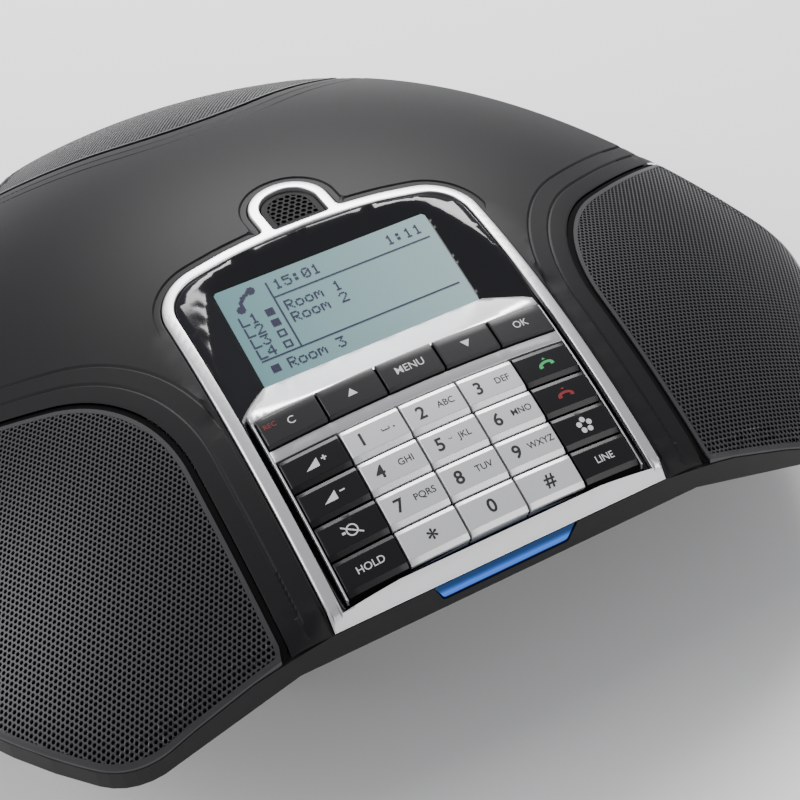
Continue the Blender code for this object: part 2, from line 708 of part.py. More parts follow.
matTop = -keyDepth - matGap
put("key_mat", slabMesh(gridHalf - 0.4 * mm, -gridTop + mm, softEnd + mm, matTop - matThickness, matTop,
                        padPlace),
    blackRubber)
boardTop = matTop - matThickness - gap
put("keypad_board", slabMesh(gridHalf - 0.4 * mm, -gridTop + mm, softEnd + mm, boardTop - boardThickness,
                             boardTop,
                             padPlace), boardGreen)

# ---- grilles and microphone ------------------------------------------------------------
for side, angle in lobeAngles.items():
    place = Matrix.Translation((0, axisY, 0)) @ Matrix.Rotation(math.radians(angle), 4, "Z")
    grille = put("speaker_grille_" + side, prismMesh([outline], 25 * mm, 90 * mm), mesh)
    carve(grille, put("grille_skin_" + side, lensMesh(0, grilleThickness)), "INTERSECT")
    carve(grille, put("grille_cut_" + side, prismMesh([grilleOutline()], 20 * mm, 95 * mm, place)),
          "INTERSECT")
    carve(grille, underSeam)
    smooth(grille)

micGrille = put("mic_grille", prismMesh([micOutline(micBand + gap)], 60 * mm, 90 * mm), mesh)
carve(micGrille, put("mic_skin", lensMesh(-0.8 * mm, 1 * mm)), "INTERSECT")
smooth(micGrille)
micTop = domeHeight - micSink
smooth(put("mic_boot", turnedMesh([(0, micTop - bootDepth + bootWall), (bootRadius - bootWall,
                                                                        micTop - bootDepth + bootWall),
                                   (bootRadius - bootWall, micTop),
                                   (bootRadius, micTop), (bootRadius, micTop - bootDepth),
                                   (0, micTop - bootDepth)],
                                  (0, micReach), 24), blackRubber))
smooth(put("microphone", cylinderMesh(0, micReach, micTop - bootDepth + bootWall + gap, micTop - micRecess,
                                     bootRadius - bootWall - gap, 24), steel))

# ---- loudspeaker and main board ----------------------------------------------------------
basketFloor = speakerTop - speakerDepth
capHeight = basketFloor + coneLift
coneRadius = speakerRadius - flangeWidth - coneClearance
smooth(put("speaker_basket", turnedMesh([(0, basketFloor + basketWall),
                                         (magnetRadius, basketFloor + basketWall),
                                         (speakerRadius - flangeWidth - gap, speakerTop), (speakerRadius,
                                                                                           speakerTop),
                                         (speakerRadius, speakerTop - flangeThickness),
                                         (speakerRadius - flangeWidth, speakerTop - flangeThickness),
                                         (magnetRadius + mm, basketFloor), (0, basketFloor)],
                                        (0, 0), 32), steel))
smooth(put("speaker_cone", turnedMesh([(0, capHeight + coneThickness),
                                       (capRadius, capHeight + coneThickness),
                                       (coneRadius, speakerTop - coneSink),
                                       (coneRadius, speakerTop - coneSink - coneThickness),
                                       (capRadius, capHeight), (0, capHeight)], (0, 0), 32), paper))
magnetTop = basketFloor - gap
smooth(put("speaker_magnet", turnedMesh([(magnetBore, magnetTop), (magnetRadius, magnetTop),
                                         (magnetRadius, magnetTop - magnetHeight),
                                         (magnetBore, magnetTop - magnetHeight),
                                         (magnetBore, magnetTop)], (0, 0), 32), steel))
smooth(put("main_board", cylinderMesh(0, 0, mainBoardHeight, mainBoardHeight + boardThickness,
                                      mainBoardRadius, 32),
           boardGreen))
bpy.data.scenes.remove(bench)
bpy.context.view_layer.update()
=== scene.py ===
# Conference speakerphone: the visible surfaces, finishes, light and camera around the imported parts.
# Lengths are in millimetres from the dome's own vertical axis, unless a line says otherwise.
import math

import bpy
import bmesh
import numpy as np
from mathutils import Matrix, Vector
from mathutils.geometry import delaunay_2d_cdt

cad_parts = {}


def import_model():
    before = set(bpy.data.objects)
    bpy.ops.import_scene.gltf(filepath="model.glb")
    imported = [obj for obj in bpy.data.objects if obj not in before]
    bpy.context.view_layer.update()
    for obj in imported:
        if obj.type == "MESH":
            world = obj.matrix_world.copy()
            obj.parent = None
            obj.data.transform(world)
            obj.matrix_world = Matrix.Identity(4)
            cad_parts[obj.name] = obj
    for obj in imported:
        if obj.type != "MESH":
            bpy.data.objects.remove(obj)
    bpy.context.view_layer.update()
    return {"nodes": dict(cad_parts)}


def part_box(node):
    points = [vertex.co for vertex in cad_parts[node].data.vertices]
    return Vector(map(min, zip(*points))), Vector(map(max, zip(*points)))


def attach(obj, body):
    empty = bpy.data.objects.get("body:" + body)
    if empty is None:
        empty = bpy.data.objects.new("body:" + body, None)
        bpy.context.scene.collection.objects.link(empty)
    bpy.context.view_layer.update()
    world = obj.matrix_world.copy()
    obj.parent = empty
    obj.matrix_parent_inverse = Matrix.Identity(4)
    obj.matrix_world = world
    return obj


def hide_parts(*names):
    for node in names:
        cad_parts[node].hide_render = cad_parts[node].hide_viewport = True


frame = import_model()
boardLow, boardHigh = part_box("main_board")
axisY = (boardLow.y + boardHigh.y) / 2     # metres, the dome's axis in the frame
print("frame loaded:", len(frame["nodes"]), "nodes")


# ---- shader arithmetic ----

class Shade:     # a node's output that takes part in sums
    def __init__(self, tree, socket=None):
        self.tree = tree
        self.socket = socket

    def node(self, kind, settings=None, inputs=None, output=0):
        made = self.tree.nodes.new("ShaderNode" + kind)
        for key, value in (settings or {}).items():
            if key == "stops":
                while len(made.color_ramp.elements) < len(value):
                    made.color_ramp.elements.new(0.5)
                for element, (place, colour) in zip(made.color_ramp.elements, value):
                    element.position = place
                    element.color = (*colour, 1)
            else:
                setattr(made, key, value)
        for key, value in (inputs or {}).items():
            if isinstance(value, Shade):
                self.tree.links.new(value.socket, made.inputs[key])
            else:
                made.inputs[key].default_value = value
        return Shade(self.tree, made.outputs[output])

    def maths(self, operation, *values):
        return self.node("Math", {"operation": operation}, dict(enumerate(values)))

    def __add__(self, other):
        return self.maths("ADD", self, other)

    def __mul__(self, other):
        return self.maths("MULTIPLY", self, other)

    def __sub__(self, other):
        return self.maths("SUBTRACT", self, other)

    def __rsub__(self, other):
        return self.maths("SUBTRACT", other, self)

    __radd__ = __add__
    __rmul__ = __mul__

    def tint(self, dark, light):      # a colour that runs from dark to light as this value runs from 0 to 1
        mix = self.node("Mix", {"data_type": "RGBA"}, {"Factor": self}, 2)
        node = mix.socket.node
        node.inputs[6].default_value = (*dark, 1)
        node.inputs[7].default_value = (*light, 1)
        return mix


def principled(name, look):
    made = bpy.data.materials.new(name)
    made.use_nodes = True
    shader = made.node_tree.nodes["Principled BSDF"]
    for key, value in look.items():
        if key in shader.inputs:
            shader.inputs[key].default_value = (*value, 1) if isinstance(value, tuple) else value
    return made, shader, Shade(made.node_tree)


def grained(name, look):      # a moulded or painted surface: fine grain, slow cloudiness, uneven gloss
    made, shader, start = principled(name, look)
    where = start.node("TexCoord", output=3)
    grain = start.node("TexNoise", None, {"Vector": where, "Scale": look["grain"], "Detail": 3.0})
    cloud = start.node("TexNoise", None, {"Vector": where, "Scale": look["cloud"], "Detail": 2.0})
    base = look["Base Color"]
    spread = look["spread"]
    dark, light = [tuple(c * share for c in base) for share in (1 - spread, 1 + spread)]
    colour = (cloud * 0.7 + grain * 0.3).tint(dark, light)
    made.node_tree.links.new(colour.socket, shader.inputs["Base Color"])
    rough = grain * look["uneven"] + (look["Roughness"] - look["uneven"] / 2)
    made.node_tree.links.new(rough.socket, shader.inputs["Roughness"])
    bump = start.node("Bump", None, {"Strength": look["relief"], "Distance": 0.0001, "Height": grain})
    made.node_tree.links.new(bump.socket, shader.inputs["Normal"])
    made.diffuse_color = (*base, 1)
    return made


charcoalLook = {"Base Color": (0.0080, 0.0080, 0.0088), "Roughness": 0.52, "grain": 2600, "cloud": 30,
                "spread": 0.06, "uneven": 0.08, "relief": 0.16, "Specular IOR Level": 0.16}
baseLook = {"Base Color": (0.006, 0.006, 0.0065), "Roughness": 0.5, "grain": 2200, "cloud": 25,
            "spread": 0.08, "uneven": 0.08, "relief": 0.18, "Specular IOR Level": 0.25}
silverLook = {"Base Color": (0.70, 0.70, 0.715), "Metallic": 0.85, "Roughness": 0.34, "grain": 4200,
              "cloud": 60, "spread": 0.03, "uneven": 0.07, "relief": 0.05}
glossLook = {"Base Color": (0.008, 0.008, 0.010), "Roughness": 0.12, "grain": 900, "cloud": 40,
             "spread": 0.1, "uneven": 0.03, "relief": 0.02, "Specular IOR Level": 0.4}
silverKeyLook = {"Base Color": (0.66, 0.665, 0.675), "Metallic": 0.5, "Roughness": 0.38, "grain": 4200,
                 "cloud": 90, "spread": 0.025, "uneven": 0.06, "relief": 0.05}
blackKeyLook = {"Base Color": (0.006, 0.006, 0.007), "Roughness": 0.34, "grain": 3000, "cloud": 80,
                "spread": 0.08, "uneven": 0.05, "relief": 0.08, "Specular IOR Level": 0.3}
greyKeyLook = {"Base Color": (0.018, 0.018, 0.019), "Roughness": 0.32, "grain": 3000, "cloud": 80,
               "spread": 0.08, "uneven": 0.05, "relief": 0.08, "Specular IOR Level": 0.35}
grilleLook = {"Base Color": (0.040, 0.040, 0.043), "Metallic": 0.3, "Roughness": 0.4, "grain": 3000,
              "cloud": 50, "spread": 0.08, "uneven": 0.08, "relief": 0.1}
meshLook = {"Base Color": (0.006, 0.006, 0.006), "Roughness": 0.6, "grain": 3000, "cloud": 60,
            "spread": 0.1, "uneven": 0.05, "relief": 0.08, "Specular IOR Level": 0.12}
clothLook = {"Base Color": (0.004, 0.004, 0.004), "Roughness": 0.9, "grain": 1500, "cloud": 60,
             "spread": 0.2, "uneven": 0.05, "relief": 0.2, "Specular IOR Level": 0.1}
inkLook = {"Roughness": 0.45, "grain": 5000, "cloud": 200,
           "spread": 0.05, "uneven": 0.05, "relief": 0.05}
inkColours = {"black": (0.012, 0.012, 0.014), "pale": (0.55, 0.55, 0.56), "green": (0.02, 0.36, 0.10),
              "red": (0.20, 0.012, 0.016)}
dotLook = {**inkLook, "Base Color": (0.012, 0.008, 0.045), "Roughness": 0.4, "relief": 0.02}
rubberLook = {"Base Color": (0.014, 0.014, 0.014), "Roughness": 0.8, "grain": 1800, "cloud": 60,
              "spread": 0.12, "uneven": 0.08, "relief": 0.25}
screwLook = {"Base Color": (0.035, 0.035, 0.037), "Metallic": 0.8, "Roughness": 0.45, "grain": 2500,
             "cloud": 90, "spread": 0.1, "uneven": 0.12, "relief": 0.08}
steelLook = {"Base Color": (0.55, 0.55, 0.54), "Metallic": 1.0, "Roughness": 0.32, "grain": 2500, "cloud": 90,
             "spread": 0.06, "uneven": 0.12, "relief": 0.08}
boardLook = {"Base Color": (0.01, 0.11, 0.045), "Roughness": 0.38, "grain": 1200, "cloud": 180,
             "spread": 0.15, "uneven": 0.06, "relief": 0.06}
coneLook = {"Base Color": (0.02, 0.02, 0.021), "Roughness": 0.75, "grain": 1400, "cloud": 120,
            "spread": 0.15, "uneven": 0.08, "relief": 0.3}
ferriteLook = {"Base Color": (0.045, 0.045, 0.048), "Metallic": 0.2, "Roughness": 0.55, "grain": 1600,
               "cloud": 90, "spread": 0.1, "uneven": 0.1, "relief": 0.2}
glassLook = {"Base Color": (0.28, 0.40, 0.41), "Roughness": 0.2, "grain": 900, "cloud": 40,
             "spread": 0.04, "uneven": 0.03, "relief": 0.02}
diffuserLook = {"Base Color": (0.75, 0.78, 0.78), "Roughness": 0.5, "grain": 1500, "cloud": 60,
                "spread": 0.03, "uneven": 0.05, "relief": 0.05}

charcoal = grained("charcoal casing", charcoalLook)
blackBase = grained("black base", baseLook)
silver = grained("satin silver paint", silverLook)
glossBlack = grained("gloss black surround", glossLook)
silverKey = grained("silver key", silverKeyLook)
blackKey = grained("black key", blackKeyLook)
greyKey = grained("grey function key", greyKeyLook)
grilleSteel = grained("dark grille sheet", grilleLook)
cloth = grained("black acoustic cloth", clothLook)
blackMesh = grained("black microphone mesh", meshLook)
ink, paleInk, greenInk, redInk = [grained(name + " legend ink", {**inkLook, "Base Color": colour})
                                  for name, colour in inkColours.items()]
dotInk = grained("display dots", dotLook)
rubber = grained("black rubber", rubberLook)
steel = grained("zinc plated steel", steelLook)
screwSteel = grained("blackened steel", screwLook)
boardGreen = grained("circuit board", boardLook)
conePaper = grained("coated cone paper", coneLook)
ferrite = grained("ferrite", ferriteLook)
displayGlass = grained("display glass", glassLook)
diffuser = grained("backlight acrylic", diffuserLook)


displayLook = {"Roughness": 0.16, "Specular IOR Level": 0.4, "left": (0.14, 0.27, 0.29),
               "right": (0.31, 0.43, 0.44)}


def displayFinish():      # pale grey-green glass, with painted backlight glow: the colour runs lighter towards one end
    made, shader, start = principled("display face", displayLook)
    where = start.node("TexCoord", output=3)
    split = start.node("SeparateXYZ", None, {0: where})
    low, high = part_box("display_window")
    along = (split - low.x) * (1 / (high.x - low.x))
    grain = start.node("TexNoise", None, {"Vector": where, "Scale": 1500.0, "Detail": 2.0})
    # painted backlight glow: the base colour grows lighter towards the right end of the pane
    colour = (along * 0.94 + grain * 0.06).tint(displayLook["left"], displayLook["right"])
    made.node_tree.links.new(colour.socket, shader.inputs["Base Color"])
    return made


displayFace = displayFinish()

glowLook = {"Base Color": (0.004, 0.02, 0.07), "Roughness": 0.2, "Specular IOR Level": 0.15,
            "Emission Strength": 1.0,
            "stops": [(0.0, (0.01, 0.05, 0.30)), (0.08, (0.05, 0.20, 0.85)), (0.30, (0.08, 0.24, 0.90)),
                      (0.48, (0.01, 0.09, 0.42)), (0.64, (0.0, 0.03, 0.12)), (1.0, (0.0, 0.014, 0.05))]}


def glowFinish():      # tinted acrylic, lit from a lamp behind its lower edge
    made, shader, start = principled("lit blue acrylic", glowLook)
    where = start.node("TexCoord", output=3)
    height = start.node("SeparateXYZ", None, {0: where}, 2)
    low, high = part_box("light_guide_front")
    share = (height - low.z) * (1 / (high.z - low.z))
    grain = start.node("TexNoise", None, {"Vector": where, "Scale": 300.0, "Detail": 1.0})
    ramp = start.node("ValToRGB", {"stops": glowLook["stops"]}, {0: share + (grain - 0.5) * 0.05})
    made.node_tree.links.new(ramp.socket, shader.inputs["Emission Color"])
    return made


glow = glowFinish()
print("finishes made")


# ---- the phone's outlines, as in its drawings ----

body = {"domeHeight": 76.2, "domeCurve": 348.0, "seam": 47.3, "tipRadius": 120.0, "valleyReach": 88.1,
        "valleyHalf": 45.5, "flank": math.radians(28.5), "cornerFillet": 19.0,
        "innerFillet": 5.0, "edge": 0.8,
        "creaseValley": 3.0, "creaseLobe": 4.6, "gap": 0.3, "step": 3.2}
grille = {"side": 46.9, "fillet": 37.5, "pitch": 1.06, "hole": 0.37, "sheet": 0.4, "margin": 0.9,
          "sunk": 0.12,
          "grooves": (4.4, 8.7), "grooveWidth": 0.45, "grooveDepth": 0.35}
console = {"half": 37.5, "band": 2.6, "top": 3.4, "arch": 1.9, "corner": 11.0, "strip": 1.05,
           "proud": 0.15}
mic = {"half": 9.2, "band": 2.5, "reach": 2.0, "strip": 1.6, "pitch": 1.55, "hole": 0.55}
lobeAngles = {"left": 210, "right": -30, "rear": 90}


def world(x, y, z):      # a place on the phone in the frame's metres
    return Vector((x / 1000, y / 1000 + axisY, z / 1000))


def turn(point, degrees):
    return Matrix.Rotation(math.radians(degrees), 2) @ Vector(point)


def fillet(points, radii, step=math.radians(5)):
    rounded = []
    for i, (corner, radius) in enumerate(zip(points, radii)):
        corner = Vector(corner)
        before = (Vector(points[i - 1]) - corner).normalized()
        after = (Vector(points[(i + 1) % len(points)]) - corner).normalized()
        half = before.angle(after) / 2
        if radius < 1e-6 or half > math.pi / 2 - 1e-3:
            rounded.append(corner)
            continue
        centre = corner + (before + after).normalized() * radius / math.sin(half)
        first = corner + before * radius / math.tan(half) - centre
        sweep = first.angle_signed(corner + after * radius / math.tan(half) - centre)
        count = max(2, math.ceil(abs(sweep) / step))
        rounded += [centre + Matrix.Rotation(-sweep * k / count, 2) @ first for k in range(count + 1)]
    return rounded


def offset(points, distance):      # inwards for an anticlockwise loop
    moved = []
    for i, point in enumerate(points):
        a = (Vector(point) - Vector(points[i - 1])).normalized()
        b = (Vector(points[(i + 1) % len(points)]) - Vector(point)).normalized()
        normal = Vector((-a.y - b.y, a.x + b.x)).normalized()
        moved.append(Vector(point) + normal * distance / max(0.5, normal.dot(Vector((-a.y, a.x)))))
    return moved


def spaced(points, step, closed=True):      # the same line with a point at least every step
    made = []
    pairs = list(zip(points, points[1:] + points[:1])) if closed else list(zip(points, points[1:]))
    for a, b in pairs:
        count = max(1, math.ceil((Vector(b) - Vector(a)).length / step))
        made += [Vector(a).lerp(Vector(b), k / count) for k in range(count)]
    return made if closed else made + [Vector(points[-1])]


def rimOutline():
    start = Vector((body["valleyHalf"], -body["valleyReach"]))
    radius, cornerRadius = body["tipRadius"], body["cornerFillet"]
    local = turn(start, 30)
    side = Vector((math.cos(body["flank"]), math.sin(body["flank"])))
    reach = abs(local.x * side.y + abs(local.y) * side.x)
    along = math.sqrt((radius - cornerRadius) ** 2 - (reach - cornerRadius) ** 2)
    outward = Vector((side.y, -side.x))
    centre = outward * (reach - cornerRadius) + side * along
    first = math.atan2(outward.y, outward.x)
    last = math.atan2(centre.y, centre.x)
    half = [centre + Vector((math.cos(a), math.sin(a))) * cornerRadius
            for a in np.linspace(first, last, 16)[:-1]]
    arc = [Vector((math.cos(a), math.sin(a))) * radius for a in np.linspace(last, 0, 14)]
    lower = half + arc
    upper = [Vector((p.x, -p.y)) for p in reversed(lower[:-1])]
    points, radii = [], []
    for turned in (0, 120, 240):
        points += [turn(start, turned)] + [turn(p, turned - 30) for p in lower + upper]
        radii += [body["innerFillet"]] + [0] * (len(lower) + len(upper))
        points.append(turn((-body["valleyHalf"], -body["valleyReach"]), turned + 120))
        radii.append(body["innerFillet"])
    return fillet(points, radii)


rim = rimOutline()
rimDense = spaced(rim, 1.0)
rimPoints = np.array(rimDense)
rimNormals = np.array(offset(rimDense, 1.0)) - rimPoints      # towards the middle


def grilleDistance(places):      # distance outside the nearest grille, negative inside it
    best = np.full(len(places), 1e9)
    centre = (grille["side"] + grille["fillet"]) / math.sin(math.radians(60))
    for angle in lobeAngles.values():
        a = math.radians(angle)
        u = places[:, 0] * math.cos(a) + places[:, 1] * math.sin(a)
        v = -places[:, 0] * math.sin(a) + places[:, 1] * math.cos(a)
        v = np.abs(v)
        bearing = np.degrees(np.arctan2(v, u - centre))
        straight = grille["side"] - (u * math.sin(math.radians(60)) - v * math.cos(math.radians(60)))
        curved = np.hypot(u - centre, v) - grille["fillet"]
        best = np.minimum(best, np.where(bearing > 150, curved, straight))
    return best


def grilleLine(grow, angle):      # the grille's edge from one end at the rim to the other
    tip = (grille["side"] - grow) / math.sin(math.radians(60))
    run = 140.0
    far = [Vector((run, (run - tip) * math.tan(math.radians(60)) * s)) for s in (-1, 1)]
    line = fillet([far[1], Vector((tip, 0)), far[0]], [0, grille["fillet"] + grow, 0], math.radians(3))
    return [turn(p, angle) for p in spaced(line, 2.5, closed=False)]


def inside(places, loop):      # even-odd test
    ring = np.array(loop)
    result = np.zeros(len(places), bool)
    ahead = np.roll(ring, -1, axis=0)
    for (x0, y0), (x1, y1) in zip(ring, ahead):
        if y0 == y1:
            continue
        crosses = (places[:, 1] < y0) != (places[:, 1] < y1)
        result ^= crosses & (places[:, 0] < (x1 - x0) * (places[:, 1] - y0) / (y1 - y0) + x0)
    return result


def domeHeight(places):
    return body["domeHeight"] - (places ** 2).sum(axis=1) / body["domeCurve"]


def overDome(rise):      # a surface that keeps one height over the dome
    return lambda places: domeHeight(np.asarray(places, float)) + rise


def rimNear(places):      # distance to the rim, the rim point itself and its inward normal
    found = np.zeros(len(places), int)
    for start in range(0, len(places), 2000):
        part = places[start:start + 2000]
        found[start:start + 2000] = ((part[:, None] - rimPoints[None]) ** 2).sum(axis=2).argmin(axis=1)
    near = rimPoints[found]
    normal = rimNormals[found]
    return np.maximum(((places - near) * normal).sum(axis=1), 0), near, normal


def skinHeight(places):      # the dome, turning down more steeply over a lip along the rim
    places = np.asarray(places, float)
    away, near, normal = rimNear(places)
    seam = np.minimum(body["seam"], domeHeight(near) - body["edge"])
    radius = np.hypot(near[:, 0], near[:, 1])
    lobe = np.clip((radius - 97) / 10, 0, 1)
    lip = body["creaseValley"] * (1 - lobe) + body["creaseLobe"] * lobe
    crest = domeHeight(near + normal * lip[:, None])
    return np.where(away < lip, seam + (crest - seam) * (away / lip) ** 0.85, domeHeight(places))


def shellHeight(places):      # the casing's skin with the two grooves round each grille
    places = np.asarray(places, float)
    away = grilleDistance(places)
    cut = sum(np.clip(1 - np.abs(away - g) / grille["grooveWidth"], 0, 1) for g in grille["grooves"])
    ledge = sum(np.clip((g - away) / grille["grooveWidth"], 0, 1) for g in grille["grooves"])
    return skinHeight(places) - grille["grooveDepth"] * cut - 0.1 * ledge


# ---- surfaces laid over the dome ----

def lay(name, finish, loops, height, step=3.0, extra=(), rides="housing", stands=(), slot=None, sharp=30,
        floor=None):
    # loops: (points, profile, hole). A profile's pairs are (inset, drop), from the face to the skirt's foot.
    fills, rings = [], []
    for points, profile, hole in loops:
        sign = -1 if hole else 1
        ring = [offset(points, sign * inset) for inset, drop in profile]
        fills.append(ring[0])
        rings.append((ring, [drop for inset, drop in profile]))
    places, edges = [], []
    for loop in fills:
        base = len(places)
        places += [tuple(p) for p in loop]
        edges += [(base + k, base + (k + 1) % len(loop)) for k in range(len(loop))]
    holes = [np.array(f) for f, l in zip(fills, loops) if l[2]]
    outer = [np.array(f) for f, l in zip(fills, loops) if not l[2]][0]
    fixed = np.array(places)
    if step:
        low, high = outer.min(axis=0), outer.max(axis=0)
        rows = np.arange(low[1], high[1], step * 0.866)
        grid = np.array([(x + (k % 2) * step / 2, y) for k, y in enumerate(rows)
                         for x in np.arange(low[0], high[0], step)])
        lines = [np.array([tuple(p) for p in line]) for line in extra]
        keep = inside(grid, outer)
        for hole in holes:
            keep &= ~inside(grid, hole)
        grid = grid[keep]
        for line in lines:
            ok = inside(line, outer)
            for hole in holes:
                ok &= ~inside(line, hole)
            gaps = np.sqrt(((line[:,
                                  None] - fixed[None]) ** 2).sum(axis=2)).min(axis=1) if len(line) else []
            line = line[ok & (gaps > 0.12)]
            places += [tuple(p) for p in line]
        fixed = np.array(places)
        clear = np.array([((fixed - p) ** 2).sum(axis=1).min() > (step * 0.45) ** 2
                          for p in grid]) if len(grid) else []
        places += [tuple(p) for p in grid[clear]] if len(grid) else []
    verts, _, faces, *_ = delaunay_2d_cdt([Vector(p) for p in places], edges, [], 0, 1e-5)
    flat = np.array([tuple(v) for v in verts])
    middles = np.array([flat[list(f)].mean(axis=0) for f in faces])
    keep = inside(middles, outer)
    for hole in holes:
        keep &= ~inside(middles, hole)
    heights = height(flat)
    bm = bmesh.new()
    made = [bm.verts.new(world(x, y, z)) for (x, y), z in zip(flat, heights)]
    index = {(round(x, 3), round(y, 3)): v for (x, y), v in zip(flat, made)}
    for f, k in zip(faces, keep):
        if k:
            bm.faces.new([made[i] for i in f])
    for ring, drops in rings:
        before = [index.get((round(p.x, 3), round(p.y, 3))) for p in ring[0]]
        before = [v or bm.verts.new(world(p.x, p.y, height(np.array([tuple(p)]))[0])) for v,
                  p in zip(before, ring[0])]
        for loop, drop in zip(ring[1:], drops[1:]):
            tops = height(np.array([tuple(p) for p in loop])) - drop
            tops = tops if floor is None else np.maximum(tops, floor)
            now = [bm.verts.new(world(p.x, p.y, z)) for p, z in zip(loop, tops)]
            for k in range(len(loop)):
                n = (k + 1) % len(loop)
                bm.faces.new((before[k], before[n], now[n], now[k]))
            before = now
    loose = [v for v in bm.verts if not v.link_faces]
    bmesh.ops.delete(bm, geom=loose, context="VERTS")
    bmesh.ops.recalc_face_normals(bm, faces=bm.faces)
    if sum(f.normal.z * f.calc_area() for f in bm.faces) < 0:
        bmesh.ops.reverse_faces(bm, faces=bm.faces)
    return place(name, bm, finish, rides, stands, slot, sharp)


def place(name, bm, finish, rides="housing", stands=(), slot=None, sharp=30):
    data = bpy.data.meshes.new(name)
    bm.to_mesh(data)
    bm.free()
    data.materials.append(finish)
    data.shade_smooth()
    data.set_sharp_from_angle(angle=math.radians(sharp))
    made = bpy.data.objects.new(name, data)
    bpy.context.scene.collection.objects.link(made)
    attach(made, rides)
    if stands:
        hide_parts(*stands)
    return made


rounded = [(0.45, 0), (0.22, 0.02), (0.07, 0.06), (0, 0.14), (0.9, 0.5)]      # a soft edge, turned under


def valleyPart(turned, clear):      # the rim from one grille to the next, across a valley
    half = grille["side"] - clear
    local = sorted((turn(p, -turned) for p in rim), key=lambda p: p.x)
    front = [p for p in local if p.y < -60]
    part = [p for p in front if abs(p.x) < half]
    endY = np.interp(-half, [p.x for p in front], [p.y for p in front])
    ends = [Vector((-half, endY)), Vector((half, endY))]
    return [turn(p, turned) for p in [ends[0]] + part + [ends[1]]]


def shellOutline():
    loop = []
    for turned, lobe in ((0, "right"), (120, "rear"), (240, "left")):
        part = valleyPart(turned, 0.3)
        if turned == 0:
            part = notched(part)
        loop += spaced(part, 2.5, closed=False)
        line = grilleLine(0.3, lobeAngles[lobe])
        reach = part[-1].length
        local = [p for p in line if p.length < reach - 0.3]
        if (local[0] - part[-1]).length > (local[-1] - part[-1]).length:
            local.reverse()
        loop += local
    return loop


def notched(part):      # the casing's front edge, interrupted by the console's frame
    half = console["half"] + body["gap"]
    line = frameOutline(-body["gap"], body["valleyReach"])
    climb = [p for p in reversed(line) if p.y > -body["valleyReach"] + 0.5]
    left = [p for p in part if p.x < -half - 0.6] + [Vector((-half, -body["valleyReach"]))]
    return left + climb + [Vector((half, -body["valleyReach"]))] + [p for p in part if p.x > half + 0.6]


def consoleOutline(inset, front, step=math.radians(5)):
    half = console["half"] - inset
    top = -console["top"] - inset
    corner = console["corner"] - inset
    arch = [Vector((half * 0.5, top - console["arch"] * 0.25)), Vector((0, top)),
            Vector((-half * 0.5, top - console["arch"] * 0.25))]
    points = [Vector((-half, -front)), Vector((half, -front)), Vector((half, top - console["arch"]))]
    points += arch + [Vector((-half, top - console["arch"]))]
    return fillet(points, [0, 0, corner, 0, 0, 0, corner], step)


def micOutline(inset):
    half = mic["half"] - inset
    foot = -console["top"] - console["band"] + mic["strip"] + max(inset - mic["band"], 0)
    top = mic["reach"] + half
    return fillet([Vector((-half, foot)), Vector((half, foot)), Vector((half, top)),
                   Vector((-half, top))],
                  [0.8 if inset > 0 else 0] * 2 + [half * 0.98] * 2)


def frameOutline(inset, front):      # the console with the microphone's loop standing on its top
    outline = consoleOutline(inset, front)
    half = mic["half"] - inset
    right = [p for p in outline if p.x > half + 1.2]
    left = [p for p in outline if p.x < -half - 1.2]
    foot = -console["top"] - inset - 0.25
    loop = [p for p in micOutline(inset) if p.y > foot + 1.3]
    turnIn = [Vector((half + 1.0, foot)), Vector((half + 0.3, foot + 0.25)), Vector((half, foot + 1.0))]
    turnOut = [Vector((-p.x, p.y)) for p in reversed(turnIn)]
    lowLeft = [p for p in left if p.y < -20]
    highLeft = [p for p in left if p.y >= -20]
    return lowLeft + right + turnIn + loop + turnOut + highLeft


shellLoop = shellOutline()
framePoints = np.array([tuple(p) for p in spaced(frameOutline(0, body["valleyReach"]), 0.8)])


def frameDistance(places):
    result = np.full(len(places), 99.0)
    near = (np.abs(places[:, 0]) < console["half"] + 6) & (places[:, 1] < 20)
    if near.any():
        part = places[near]
        result[near] = np.sqrt(((part[:, None] - framePoints[None]) ** 2).sum(axis=2)).min(axis=1)
    return result


def casingHeight(places):      # with the shallow step that runs round the console
    places = np.asarray(places, float)
    away = frameDistance(places)
    return shellHeight(places) - 0.35 * np.clip((2.0 - away) / 0.3, 0, 1)


lines = [offset(rimDense, body["creaseValley"]), offset(rimDense, body["creaseLobe"]), offset(rimDense, 1.4)]
for spot in grille["grooves"]:
    for shift in (-1.0, 0, 1.0):
        for lobe in lobeAngles.values():
            lines.append(spaced(grilleLine(spot + shift * grille["grooveWidth"], lobe), 1.6,
                                closed=False))
for away in (1.65, 2.05):
    ring = frameOutline(-away, body["valleyReach"])
    lines.append(spaced([p for p in reversed(ring) if p.y > -84], 1.4, closed=False))
lay("upper_casing", charcoal, [(shellLoop, rounded, False)], casingHeight, body["step"], lines,
    stands=["upper_shell"], slot="charcoal_casing", sharp=20)
print("casing laid")


# silver frame: flat band round the console, its front end turned down as a wall with one crease
def frameHeight(places):
    places = np.asarray(places, float)
    top = domeHeight(places) + console["proud"]
    front = places[:, 1] + body["valleyReach"]
    wall = body["seam"] + np.where(front < 0.9, 4.1 * front, 3.7 + 14 * (front - 0.9))
    return np.minimum(top, wall)


